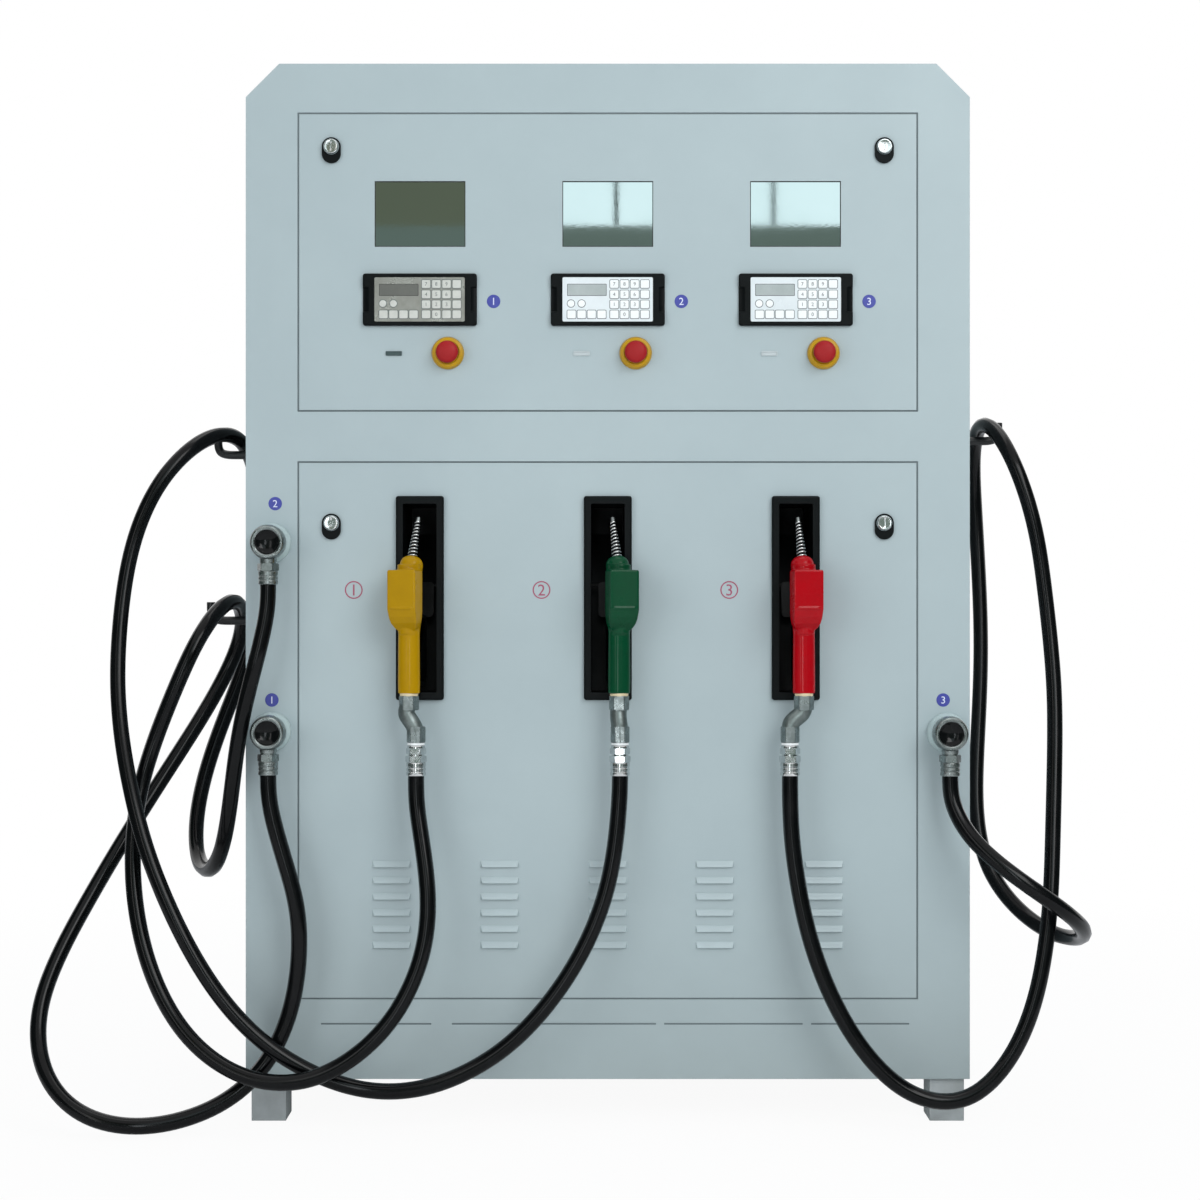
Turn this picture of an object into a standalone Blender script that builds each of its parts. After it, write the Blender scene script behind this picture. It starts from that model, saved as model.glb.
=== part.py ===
"""Fuel dispenser with three hoses: a folded sheet steel cabinet, three nozzles and their hoses.

Metres, +Z up. The origin is on the floor under the middle of the dispenser. The front faces -Y.
"""

import math

import bmesh
import bpy
from mathutils import Matrix, Vector

# Cabinet
CABINET_WIDTH = 1.300
CABINET_DEPTH = 0.550
CABINET_TOP = 1.900
LEG_HEIGHT = 0.077
CORNER_CHAMFER = 0.060
SHEET = 0.002
EDGE_FOLD = 0.022
PANEL_FOLD = 0.018
STOP_LIP = 0.012
PANEL_GAP = 0.003
FIT_GAP = 0.0003

# Where the nozzles stand proud of the front, which sets the front plane's place
NOZZLE_PROUD = 0.0891
FRONT = -(CABINET_DEPTH - NOZZLE_PROUD) / 2
REAR = FRONT + CABINET_DEPTH

# Door and lower panel
STILE_WIDTH = 0.096
PANEL_WIDTH = CABINET_WIDTH - 2 * STILE_WIDTH
DOOR_BOTTOM = 1.278
DOOR_TOP = CABINET_TOP - 0.091
LOWER_BOTTOM = 0.223
LOWER_TOP = 1.183

# Door hinge
HINGE_PIN_RADIUS = 0.002
HINGE_RUNNING_CLEARANCE = 0.00006
KNUCKLE_RADIUS = 0.0048
KNUCKLE_LENGTH = 0.060
KNUCKLE_SPREAD = 0.400
HINGE_INSET = 0.0065

# Legs and floor tray
LEG_WIDTH = 0.062
LEG_DEPTH = 0.075
LEG_INSET = 0.009
LEG_WALL = 0.003
FOOT_THICKNESS = 0.006
TRAY_WALL = 0.003
TRAY_EDGE = 0.030
PIPE_OPENING = (0.900, 0.100)

# Columns of fittings on the front
COLUMN_PITCH = 0.337
COLUMNS = (-COLUMN_PITCH, 0.0, COLUMN_PITCH)

# Display windows
WINDOW_SIZE = (0.163, 0.118)
WINDOW_CENTRE_Z = 1.630
WINDOW_LAP = 0.010
WINDOW_THICKNESS = 0.004

# Keypads
KEYPAD_SIZE = (0.2045, 0.0935)
KEYPAD_CENTRE_Z = 1.4755
KEYPAD_PROUD = 0.009
KEYPAD_BODY = (0.176, 0.066)
KEYPAD_BODY_DEPTH = 0.030

# Stop buttons
STOP_OFFSET_X = 0.050
STOP_CENTRE_Z = 1.380
STOP_COLLAR_RADIUS = 0.029
STOP_COLLAR_PROUD = 0.013
STOP_BARREL_RADIUS = 0.011
STOP_STEM_RADIUS = 0.0075
STOP_STEM_CLEARANCE = 0.0004
STOP_CAP_RADIUS = 0.020
STOP_CAP_HEIGHT = 0.013
STOP_TRAVEL = 0.005
STOP_BLOCK = (0.036, 0.036, 0.040)

# Locks
LOCK_X = PANEL_WIDTH / 2 - 0.058
LOCK_UPPER_Z = 1.750
LOCK_LOWER_Z = 1.075
LOCK_HEAD_RADIUS = 0.0135
LOCK_HEAD_PROUD = 0.012
LOCK_HEAD_CHAMFER = 0.003
LOCK_BARREL_RADIUS = 0.0095
LOCK_CLEARANCE = 0.0004
LOCK_BOSS = (0.033, 0.045, 0.004)
LOCK_CAM = (0.042, 0.016, 0.0025)

# Nozzle boots
BOOT_CENTRE_Z = 0.9405
BOOT_FLANGE = (0.086, 0.366)
BOOT_FLANGE_PROUD = 0.010
BOOT_MOUTH = (0.060, 0.338)
BOOT_WALL = 0.003
BOOT_DEPTH_TOP = 0.182
BOOT_DEPTH_BOTTOM = 0.067
BOOT_BACK_STRAIGHT = 0.050

# Nozzles, each turned a little about its own upright grip
NOZZLE_GRIP_FORWARD = 0.045
NOZZLE_GRIPS = ((-0.353, -16.0), (0.0200, 14.0), (0.3480, 8.0))
GRIP_HALF = (0.0185, 0.0165)
GRIP_BOTTOM = 0.771
GRIP_TOP = 0.892
BODY_WIDTH = 0.052
BODY_FORWARD = 0.040
BODY_WAIST = -0.004
BODY_BOTTOM = 0.886
BODY_TOP = 0.990
BODY_UNDERCUT = 0.022
BODY_SOFTENING = 0.006
COLLAR_RADIUS = 0.021
SPOUT_SEAT = (0.014, 1.004)
SPOUT_BEND = (0.028, 1.040)
SPOUT_TIP = (0.048, 1.084)
SPOUT_RADIUS = 0.0080
GUARD_WIDTH = 0.014
GUARD_STRAP = 0.008
GUARD_BACK = 0.072
GUARD_BOTTOM = 0.784
GUARD_TOP = 0.912
LEVER_PIVOT = (0.040, 0.893)
LEVER_PIN_RADIUS = 0.003
LEVER_BORE_CLEARANCE = 0.00008
LEVER_LENGTH = 0.086
LEVER_WIDTH = 0.009
LEVER_THICKNESS = 0.005
SWIVEL_RADIUS = 0.0160
SWIVEL_KICKS = (-0.008, -0.002, 0.000)
HOSE_TOPS_X = (-0.340, 0.0215, 0.3228)
HOSE_FORWARD = 0.050
COUPLING_TOP = 0.679
COUPLING_BOTTOM = 0.6253
COUPLING_RADIUS = 0.0175

# Hose outlets on the front stiles
OUTLET_INSETS = (0.047, 0.0425)
OUTLETS = (
    (-CABINET_WIDTH / 2 + OUTLET_INSETS[0], 0.7012),
    (-CABINET_WIDTH / 2 + OUTLET_INSETS[0], 1.0394),
    (CABINET_WIDTH / 2 - OUTLET_INSETS[1], 0.6995),
)
OUTLET_DROP = 0.075
OUTLET_FORWARD = 0.045
OUTLET_PROUD = 0.064
OUTLET_BASE_RADIUS = 0.035
OUTLET_RING_RADIUS = 0.0295
OUTLET_BORE_RADIUS = 0.017
OUTLET_NIPPLE_RADIUS = 0.012
OUTLET_FERRULE_RADIUS = 0.0175

# Hoses
HOSE_RADIUS = 0.0145
HOSE_POINT_SPACING = 0.070
HOSE_STRAIGHT_END = 0.015

# Hose hangers on the cabinet's sides: side, depth from the front, height of the arm's axis
HANGER_ARM_RADIUS = 0.008
HANGER_REACH = 0.098
HANGER_TIP_RISE = 0.034
HANGER_PLATE = (0.004, 0.050, 0.110)
HANGER_PLATE_DROP = 0.020
HANGERS = (
    (-1, 0.205, 0.9125 - HOSE_RADIUS),
    (-1, 0.285, 1.2300 - HOSE_RADIUS),
    (1, 0.265, 1.2555 - HOSE_RADIUS),
)

# Inside
SHELF_HEIGHT = 1.228
PUMP_FOOT = (0.130, 0.080, 0.012)
PUMP_HOUSING = ((-0.120, -0.010), 0.070, 0.210)
PUMP_BRACKET = ((0.020, 0.110), 0.050, 0.060)
PUMP_MOTOR = ((-0.020, 0.125), 0.110, 0.070)
PUMP_INLET = (-0.065, 0.200, 0.270, 0.030)
METER_STAND = (0.035, 0.360)
METER_BODY = (0.420, 0.065, 0.075, 0.055)
METER_CYLINDER = (0.095, 0.034)
METER_PULSER = (0.070, 0.110, 0.020)
PUMP_COLUMNS = (-0.400, 0.0, 0.400)
PUMP_DEPTH_PLACE = 0.430
METER_COLUMNS = PUMP_COLUMNS
METER_DEPTH_PLACE = 0.200
CONTROL_BOX = (0.420, 0.120, 0.260)

# The way each hose lies, from its outlet over its hanger and up to its nozzle: X, depth behind the front, Z.
# Each route's two ends are moved onto the outlet and the coupling that it joins. The routes are drawn for one
# cabinet width and one hose radius, and move outwards and apart with them.
ROUTE_CABINET_WIDTH = 1.300
ROUTE_HOSE_RADIUS = 0.0145
ROUTE_FIXED_X = 0.350
ROUTE_MOVED_X = 0.540
ROUTE_SPREAD = (3.6, 0.0, 0.0)
HOSE_ROUTES = (
    (
        (-0.603, -0.045, 0.626), (-0.603, -0.045, 0.575), (-0.575, -0.050, 0.480),
        (-0.550, -0.050, 0.400), (-0.545, -0.050, 0.320), (-0.555, -0.050, 0.225),
        (-0.590, -0.055, 0.130), (-0.655, -0.075, 0.060), (-0.740, -0.105, 0.025),
        (-0.835, -0.130, 0.017), (-0.930, -0.120, 0.040), (-1.000, -0.080, 0.105),
        (-1.020, -0.030, 0.200), (-0.995, 0.020, 0.290), (-0.960, 0.070, 0.370),
        (-0.908, 0.128, 0.475), (-0.845, 0.190, 0.590), (-0.780, 0.240, 0.700),
        (-0.738, 0.292, 0.785), (-0.702, 0.295, 0.868), (-0.690, 0.222, 0.935),
        (-0.708, 0.122, 0.938), (-0.745, 0.048, 0.870), (-0.785, 0.038, 0.775),
        (-0.825, 0.050, 0.680), (-0.850, 0.030, 0.585), (-0.855, 0.000, 0.490),
        (-0.845, -0.025, 0.395), (-0.820, -0.050, 0.300), (-0.775, -0.075, 0.210),
        (-0.710, -0.100, 0.140), (-0.620, -0.120, 0.095), (-0.520, -0.128, 0.095),
        (-0.430, -0.125, 0.145), (-0.365, -0.115, 0.215), (-0.322, -0.098, 0.310),
        (-0.312, -0.085, 0.410), (-0.330, -0.062, 0.520), (-0.340, -0.050, 0.575),
        (-0.340, -0.050, 0.625),
    ),
    (
        (-0.603, -0.045, 0.964), (-0.603, -0.045, 0.916), (-0.620, -0.060, 0.835),
        (-0.645, -0.045, 0.750), (-0.662, -0.030, 0.670), (-0.675, -0.010, 0.580),
        (-0.695, 0.035, 0.490), (-0.730, 0.105, 0.430), (-0.775, 0.200, 0.440),
        (-0.790, 0.270, 0.520), (-0.775, 0.310, 0.615), (-0.745, 0.340, 0.710),
        (-0.712, 0.365, 0.800), (-0.690, 0.385, 0.895), (-0.682, 0.395, 0.995),
        (-0.682, 0.390, 1.100), (-0.687, 0.362, 1.195), (-0.706, 0.280, 1.262),
        (-0.760, 0.180, 1.245), (-0.832, 0.142, 1.165), (-0.875, 0.128, 1.065),
        (-0.892, 0.110, 0.967), (-0.897, 0.085, 0.865), (-0.892, 0.050, 0.770),
        (-0.875, 0.015, 0.675), (-0.850, -0.020, 0.585), (-0.820, -0.050, 0.495),
        (-0.780, -0.070, 0.405), (-0.735, -0.085, 0.320), (-0.680, -0.090, 0.235),
        (-0.610, -0.090, 0.160), (-0.525, -0.085, 0.105), (-0.430, -0.080, 0.070),
        (-0.330, -0.085, 0.073), (-0.235, -0.085, 0.110), (-0.150, -0.085, 0.170),
        (-0.060, -0.075, 0.280), (0.005, -0.058, 0.420), (0.021, -0.050, 0.575),
        (0.021, -0.050, 0.625),
    ),
    (
        (0.608, -0.045, 0.625), (0.608, -0.045, 0.575), (0.640, -0.080, 0.510),
        (0.715, -0.125, 0.450), (0.790, -0.120, 0.400), (0.840, -0.060, 0.360),
        (0.865, 0.030, 0.325), (0.835, 0.125, 0.310), (0.770, 0.185, 0.350),
        (0.715, 0.230, 0.430), (0.705, 0.270, 0.530), (0.712, 0.300, 0.625),
        (0.722, 0.325, 0.725), (0.730, 0.350, 0.825), (0.732, 0.372, 0.925),
        (0.730, 0.390, 1.025), (0.725, 0.397, 1.130), (0.716, 0.372, 1.222),
        (0.712, 0.280, 1.283), (0.730, 0.175, 1.258), (0.765, 0.130, 1.170),
        (0.795, 0.125, 1.065), (0.808, 0.120, 0.960), (0.817, 0.105, 0.855),
        (0.820, 0.082, 0.755), (0.812, 0.048, 0.635), (0.800, 0.005, 0.515),
        (0.790, -0.030, 0.405), (0.775, -0.050, 0.305), (0.750, -0.070, 0.210),
        (0.705, -0.085, 0.120), (0.630, -0.095, 0.050), (0.535, -0.092, 0.060),
        (0.460, -0.085, 0.125), (0.405, -0.075, 0.210), (0.365, -0.065, 0.305),
        (0.340, -0.057, 0.405), (0.326, -0.050, 0.505), (0.323, -0.050, 0.575),
        (0.323, -0.050, 0.625),
    ),
)

CLEAR = 0.05
ROUND = 24
SMALL_ROUND = 14
INNER_ROUND = 20


def start_collections():
    """Empties the scene and returns the collections for the parts and for the cutters."""
    for obj in list(bpy.data.objects):
        bpy.data.objects.remove(obj)
    parts = bpy.data.collections.new("fuel_dispenser")
    helpers = bpy.data.collections.new("cutters")
    bpy.context.scene.collection.children.link(parts)
    bpy.context.scene.collection.children.link(helpers)
    helpers.hide_render = True
    return parts, helpers


PARTS, HELPERS = start_collections()


def material(name, colour, roughness, metallic=0.0):
    """A plain Principled material."""
    made = bpy.data.materials.new(name)
    made.use_nodes = True
    shader = made.node_tree.nodes["Principled BSDF"]
    shader.inputs["Base Color"].default_value = (*colour, 1.0)
    shader.inputs["Roughness"].default_value = roughness
    shader.inputs["Metallic"].default_value = metallic
    return made


def add_shape(bm, pivot=(0, 0, 0)):
    """Puts a bmesh given in world places into a helper object whose origin is at the pivot."""
    bmesh.ops.translate(bm, verts=bm.verts, vec=-Vector(pivot))
    mesh = bpy.data.meshes.new("shape")
    bm.to_mesh(mesh)
    bm.free()
    obj = bpy.data.objects.new("shape", mesh)
    obj.location = pivot
    obj.hide_render = True
    obj.display_type = "WIRE"
    HELPERS.objects.link(obj)
    return obj


def box(low, high, pivot=(0, 0, 0), bevel=0.0):
    """A box between two corners, with its long edges rounded if a bevel is given."""
    bm = bmesh.new()
    size = Vector(high) - Vector(low)
    middle = (Vector(high) + Vector(low)) / 2
    bmesh.ops.create_cube(bm, size=1.0, matrix=Matrix.Translation(middle) @ Matrix.Diagonal((*size, 1.0)))
    if bevel:
        bmesh.ops.bevel(bm, geom=bm.edges[:], offset=bevel, segments=2, affect="EDGES", profile=0.5)
    return add_shape(bm, pivot)


def rod(start, end, radius, sides=SMALL_ROUND, end_radius=None, pivot=(0, 0, 0)):
    """A cylinder or cone between two points."""
    start, end = Vector(start), Vector(end)
    bm = bmesh.new()
    turn = (end - start).to_track_quat("Z", "Y").to_matrix().to_4x4()
    bmesh.ops.create_cone(
        bm,
        cap_ends=True,
        segments=sides,
        radius1=radius,
        radius2=radius if end_radius is None else end_radius,
        depth=(end - start).length,
        matrix=Matrix.Translation((start + end) / 2) @ turn,
    )
    return add_shape(bm, pivot)


def prism(outline, low, high, plane="XZ", pivot=(0, 0, 0)):
    """A flat outline pulled out from low to high: along Y from an XZ outline, along X from a YZ one."""
    curve = bpy.data.curves.new("outline", "CURVE")
    curve.dimensions = "2D"
    curve.fill_mode = "BOTH"
    curve.extrude = (high - low) / 2
    spline = curve.splines.new("POLY")
    spline.points.add(len(outline) - 1)
    for point, place in zip(spline.points, outline):
        point.co = (*place, 0.0, 1.0)
    spline.use_cyclic_u = True
    drawn = bpy.data.objects.new("outline", curve)
    HELPERS.objects.link(drawn)
    bpy.context.view_layer.update()
    mesh = bpy.data.meshes.new_from_object(drawn.evaluated_get(bpy.context.evaluated_depsgraph_get()))
    bpy.data.objects.remove(drawn)
    bm = bmesh.new()
    bm.from_mesh(mesh)
    bmesh.ops.remove_doubles(bm, verts=bm.verts, dist=1e-6)
    middle = (low + high) / 2
    if plane == "XZ":
        place = Matrix(((1, 0, 0, 0), (0, 0, -1, middle), (0, 1, 0, 0), (0, 0, 0, 1)))
    else:
        place = Matrix(((0, 0, 1, middle), (1, 0, 0, 0), (0, 1, 0, 0), (0, 0, 0, 1)))
    bmesh.ops.transform(bm, matrix=place, verts=bm.verts)
    return add_shape(bm, pivot)


def turned(profile, place, axis="-Y", sides=ROUND, pivot=(0, 0, 0)):
    """A turned solid: (radius, height) pairs from its top centre down its outer side to its bottom centre."""
    mesh = bpy.data.meshes.new("profile")
    mesh.from_pydata([(r, 0, h) for r, h in profile], [(i, i + 1) for i in range(len(profile) - 1)], [])
    drawn = bpy.data.objects.new("profile", mesh)
    HELPERS.objects.link(drawn)
    screw = drawn.modifiers.new("turn", "SCREW")
    screw.steps = screw.render_steps = sides
    screw.use_merge_vertices = True
    screw.merge_threshold = 1e-5
    bpy.context.view_layer.update()
    made = bpy.data.meshes.new_from_object(drawn.evaluated_get(bpy.context.evaluated_depsgraph_get()))
    bpy.data.objects.remove(drawn)
    bm = bmesh.new()
    bm.from_mesh(made)
    bmesh.ops.remove_doubles(bm, verts=bm.verts, dist=1e-6)
    turn = {
        "-Y": Matrix.Rotation(math.radians(90), 4, "X"),
        "+Z": Matrix.Identity(4),
    }[axis]
    bmesh.ops.transform(bm, matrix=Matrix.Translation(place) @ turn, verts=bm.verts)
    return add_shape(bm, pivot)


def tube_along(points, radius, resolution=2):
    """A round bar along points, with closed ends, as a mesh."""
    curve = bpy.data.curves.new("tube", "CURVE")
    curve.dimensions = "3D"
    curve.bevel_depth = radius
    curve.bevel_resolution = resolution
    curve.use_fill_caps = True
    spline = curve.splines.new("POLY")
    spline.points.add(len(points) - 1)
    for point, place in zip(spline.points, points):
        point.co = (*place, 1.0)
    drawn = bpy.data.objects.new("tube", curve)
    HELPERS.objects.link(drawn)
    bpy.context.view_layer.update()
    mesh = bpy.data.meshes.new_from_object(drawn.evaluated_get(bpy.context.evaluated_depsgraph_get()))
    bpy.data.objects.remove(drawn)
    bm = bmesh.new()
    bm.from_mesh(mesh)
    bmesh.ops.remove_doubles(bm, verts=bm.verts, dist=1e-6)
    return add_shape(bm)


def combine(target, others, operation):
    """Adds an exact Boolean with each of the other shapes to the target."""
    for other in others:
        step = target.modifiers.new(operation.lower(), "BOOLEAN")
        step.operation = operation
        step.solver = "EXACT"
        step.object = other
    return target


def add(target, *others):
    """Joins shapes to the target."""
    return combine(target, others, "UNION")


def cut(target, *others):
    """Cuts shapes out of the target."""
    return combine(target, others, "DIFFERENCE")


def node(name, shape, finish, smooth=False):
    """Names a finished shape as a piece of the dispenser and gives it its material."""
    shape.name = name
    shape.data.name = name
    shape.data.materials.clear()
    shape.data.materials.append(finish)
    if smooth:
        shape.data.shade_smooth()
        shape.data.set_sharp_from_angle(angle=math.radians(35))
    HELPERS.objects.unlink(shape)
    PARTS.objects.link(shape)
    shape.hide_render = False
    shape.display_type = "TEXTURED"
    return shape


PAINT = material("cabinet_paint", (0.42, 0.50, 0.53), 0.40)
GALVANISED = material("galvanised_steel", (0.50, 0.51, 0.52), 0.50, 0.9)
CHROME = material("chrome", (0.75, 0.76, 0.77), 0.15, 1.0)
STEEL = material("machined_steel", (0.55, 0.56, 0.57), 0.30, 1.0)
BLACK = material("black_plastic", (0.012, 0.012, 0.013), 0.45)
RUBBER = material("hose_rubber", (0.010, 0.010, 0.011), 0.35)
GLASS = material("display_glass", (0.10, 0.11, 0.10), 0.08)
YELLOW = material("stop_yellow", (0.85, 0.48, 0.01), 0.35)
RED = material("stop_red", (0.62, 0.02, 0.02), 0.35)
IRON = material("cast_iron", (0.10, 0.13, 0.16), 0.55, 0.3)
COVERS = (
    material("nozzle_yellow", (0.75, 0.45, 0.01), 0.35),
    material("nozzle_green", (0.01, 0.16, 0.05), 0.35),
    material("nozzle_red", (0.62, 0.01, 0.02), 0.30),
)


def at_depth(depth):
    """The Y of a plane this far behind the front."""
    return FRONT + depth


def cabinet_outline(inset=0.0):
    """The cabinet's front outline with its two cut top corners, drawn in by an inset."""
    half = CABINET_WIDTH / 2 - inset
    top = CABINET_TOP - inset
    corner = CORNER_CHAMFER - inset * (2 - math.sqrt(2))
    bottom = LEG_HEIGHT + inset
    return [
        (-half, bottom),
        (half, bottom),
        (half, top - corner),
        (half - corner, top),
        (-half + corner, top),
        (-half, top - corner),
    ]


def opening_box(bottom, top, grow, near, far):
    """A box as wide as the door, grown by a margin, between two depths."""
    half = PANEL_WIDTH / 2 + grow
    return box((-half, at_depth(near), bottom - grow), (half, at_depth(far), top + grow))


def hinge_axis():
    """The depth and height of the door's hinge axis."""
    return at_depth(HINGE_INSET), DOOR_BOTTOM + HINGE_INSET


def build_front_frame():
    """The front frame: a folded sheet with two rebated openings, open at the back."""
    frame = prism(cabinet_outline(), at_depth(0), at_depth(EDGE_FOLD))
    pocket = prism(cabinet_outline(SHEET), at_depth(SHEET), at_depth(EDGE_FOLD + CLEAR))
    jamb = PANEL_GAP + SHEET
    for bottom, top in ((DOOR_BOTTOM, DOOR_TOP), (LOWER_BOTTOM, LOWER_TOP)):
        cut(pocket, opening_box(bottom, top, jamb, -CLEAR, EDGE_FOLD + 2 * CLEAR))
    cut(frame, pocket)
    for bottom, top in ((DOOR_BOTTOM, DOOR_TOP), (LOWER_BOTTOM, LOWER_TOP)):
        cut(frame, opening_box(bottom, top, PANEL_GAP, -CLEAR, EDGE_FOLD - SHEET))
        cut(frame, opening_box(bottom, top, PANEL_GAP - STOP_LIP, -CLEAR, EDGE_FOLD + CLEAR))
    y, z = hinge_axis()
    reach = CABINET_WIDTH / 2 - 4 * SHEET
    cut(frame, rod((-reach, y, z), (reach, y, z), HINGE_PIN_RADIUS + FIT_GAP))
    for x, height in OUTLETS:
        cut(frame, rod((x, at_depth(-CLEAR), height), (x, at_depth(CLEAR), height),
                       OUTLET_NIPPLE_RADIUS + FIT_GAP))
    node("front_frame", frame, PAINT)


def build_rear_panel():
    """The rear panel: a folded sheet of the same outline, open at the front."""
    panel = prism(cabinet_outline(), REAR - EDGE_FOLD, REAR)
    cut(panel, prism(cabinet_outline(SHEET), REAR - EDGE_FOLD - CLEAR, REAR - SHEET))
    node("rear_panel", panel, PAINT)


def build_side_panel(name, side):
    """A side sheet with its front and back edges folded in."""
    outer = side * CABINET_WIDTH / 2
    inner = side * (CABINET_WIDTH / 2 - EDGE_FOLD)
    near = at_depth(EDGE_FOLD + FIT_GAP)
    far = REAR - EDGE_FOLD - FIT_GAP
    top = CABINET_TOP - CORNER_CHAMFER - FIT_GAP
    panel = box((min(outer, inner), near, LEG_HEIGHT), (max(outer, inner), far, top))
    skin = side * (CABINET_WIDTH / 2 - SHEET)
    past = side * (CABINET_WIDTH / 2 - EDGE_FOLD - CLEAR)
    cut(panel, box((min(skin, past), near + SHEET, LEG_HEIGHT - CLEAR),
                   (max(skin, past), far - SHEET, top + CLEAR)))
    node(name, panel, PAINT)


def build_top_cover():
    """The roof sheet with both sloping corners, between the front frame and the rear panel."""
    half = CABINET_WIDTH / 2
    low = CABINET_TOP - CORNER_CHAMFER
    slope = SHEET * (math.sqrt(2) - 1)
    outline = [
        (-half, low),
        (-half + SHEET * math.sqrt(2), low),
        (-half + CORNER_CHAMFER + slope, CABINET_TOP - SHEET),
        (half - CORNER_CHAMFER - slope, CABINET_TOP - SHEET),
        (half - SHEET * math.sqrt(2), low),
        (half, low),
        (half - CORNER_CHAMFER, CABINET_TOP),
        (-half + CORNER_CHAMFER, CABINET_TOP),
    ]
    near = at_depth(EDGE_FOLD + FIT_GAP)
    node("top_cover", prism(outline, near, REAR - EDGE_FOLD - FIT_GAP), PAINT)


def build_base_frame():
    """The floor tray with its upstanding edge, the pipe opening and four box legs with foot plates."""
    half = CABINET_WIDTH / 2 - EDGE_FOLD - FIT_GAP
    near = at_depth(EDGE_FOLD + FIT_GAP + SHEET + FIT_GAP)
    far = REAR - (near - FRONT)
    edge_top = LEG_HEIGHT + SHEET + TRAY_EDGE
    floor = LEG_HEIGHT + SHEET + FIT_GAP
    tray = box((-half, near, floor), (half, far, edge_top))
    legs = []
    hollows = []
    for side in (-1, 1):
        for end in (-1, 1):
            x = side * (CABINET_WIDTH / 2 - LEG_INSET - LEG_WIDTH / 2)
            y = (FRONT + REAR) / 2 + end * (CABINET_DEPTH / 2 - LEG_INSET - LEG_DEPTH / 2)
            low = Vector((x - LEG_WIDTH / 2, y - LEG_DEPTH / 2, 0.0))
            high = Vector((x + LEG_WIDTH / 2, y + LEG_DEPTH / 2, LEG_HEIGHT - FIT_GAP))
            legs.append(box(low, high))
            hollows.append((x, y))
    pocket = box((-half + TRAY_WALL, near + TRAY_WALL, floor + TRAY_WALL),
                 (half - TRAY_WALL, far - TRAY_WALL, edge_top + CLEAR))
    cut(tray, pocket)
    for (x, y), leg in zip(hollows, legs):
        reach = LEG_HEIGHT + SHEET + TRAY_WALL
        inward = half - abs(x)
        neck = min(LEG_WIDTH / 2, inward)
        post = box((x - neck, max(y - LEG_DEPTH / 2, near), LEG_HEIGHT / 2),
                   (x + neck, min(y + LEG_DEPTH / 2, far), reach))
        add(leg, post)
        add(tray, leg)
    for x, y in hollows:
        hole = (neck - LEG_WALL, LEG_DEPTH / 2 - EDGE_FOLD)
        cut(tray, box((x - hole[0], y - hole[1], FOOT_THICKNESS),
                      (x + hole[0], y + hole[1], edge_top + CLEAR)))
    wide, deep = PIPE_OPENING
    middle = (FRONT + REAR) / 2
    cut(tray, box((-wide / 2, middle - deep / 2, floor - CLEAR),
                  (wide / 2, middle + deep / 2, floor + CLEAR / 2)))
    node("base_frame", tray, GALVANISED)


def build_divider_shelf():
    """The sealed shelf between the wet side below and the electronics above."""
    half = CABINET_WIDTH / 2 - EDGE_FOLD - FIT_GAP
    near = at_depth(EDGE_FOLD + SHEET + 2 * FIT_GAP)
    far = REAR - (near - FRONT)
    shelf = box((-half, near, SHELF_HEIGHT), (half, far, SHELF_HEIGHT + EDGE_FOLD))
    cut(shelf, box((-half - CLEAR, near + SHEET, SHELF_HEIGHT - CLEAR),
                   (half + CLEAR, far - SHEET, SHELF_HEIGHT + EDGE_FOLD - SHEET)))
    node("divider_shelf", shelf, GALVANISED)


def panel_tray(bottom, top):
    """A flush panel with its four edges folded back."""
    panel = opening_box(bottom, top, 0.0, 0.0, PANEL_FOLD)
    return cut(panel, opening_box(bottom, top, -SHEET, SHEET, PANEL_FOLD + CLEAR))


def lock_boss(x, z):
    """The raised round-ended boss that a lock sits in, and the hole for the lock."""
    wide, high, proud = LOCK_BOSS
    radius = wide / 2
    low = z - high + 2 * radius
    turns = [math.pi * step / (ROUND / 2) for step in range(ROUND // 2 + 1)]
    outline = [(x + radius * math.cos(turn), z + radius * math.sin(turn)) for turn in turns]
    outline += [(x - radius * math.cos(turn), low - radius * math.sin(turn)) for turn in turns]
    boss = prism(outline, at_depth(-proud), at_depth(SHEET / 2))
    hole = rod((x, at_depth(-CLEAR), z), (x, at_depth(CLEAR), z),
               LOCK_BARREL_RADIUS + LOCK_CLEARANCE, ROUND)
    return boss, hole


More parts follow.
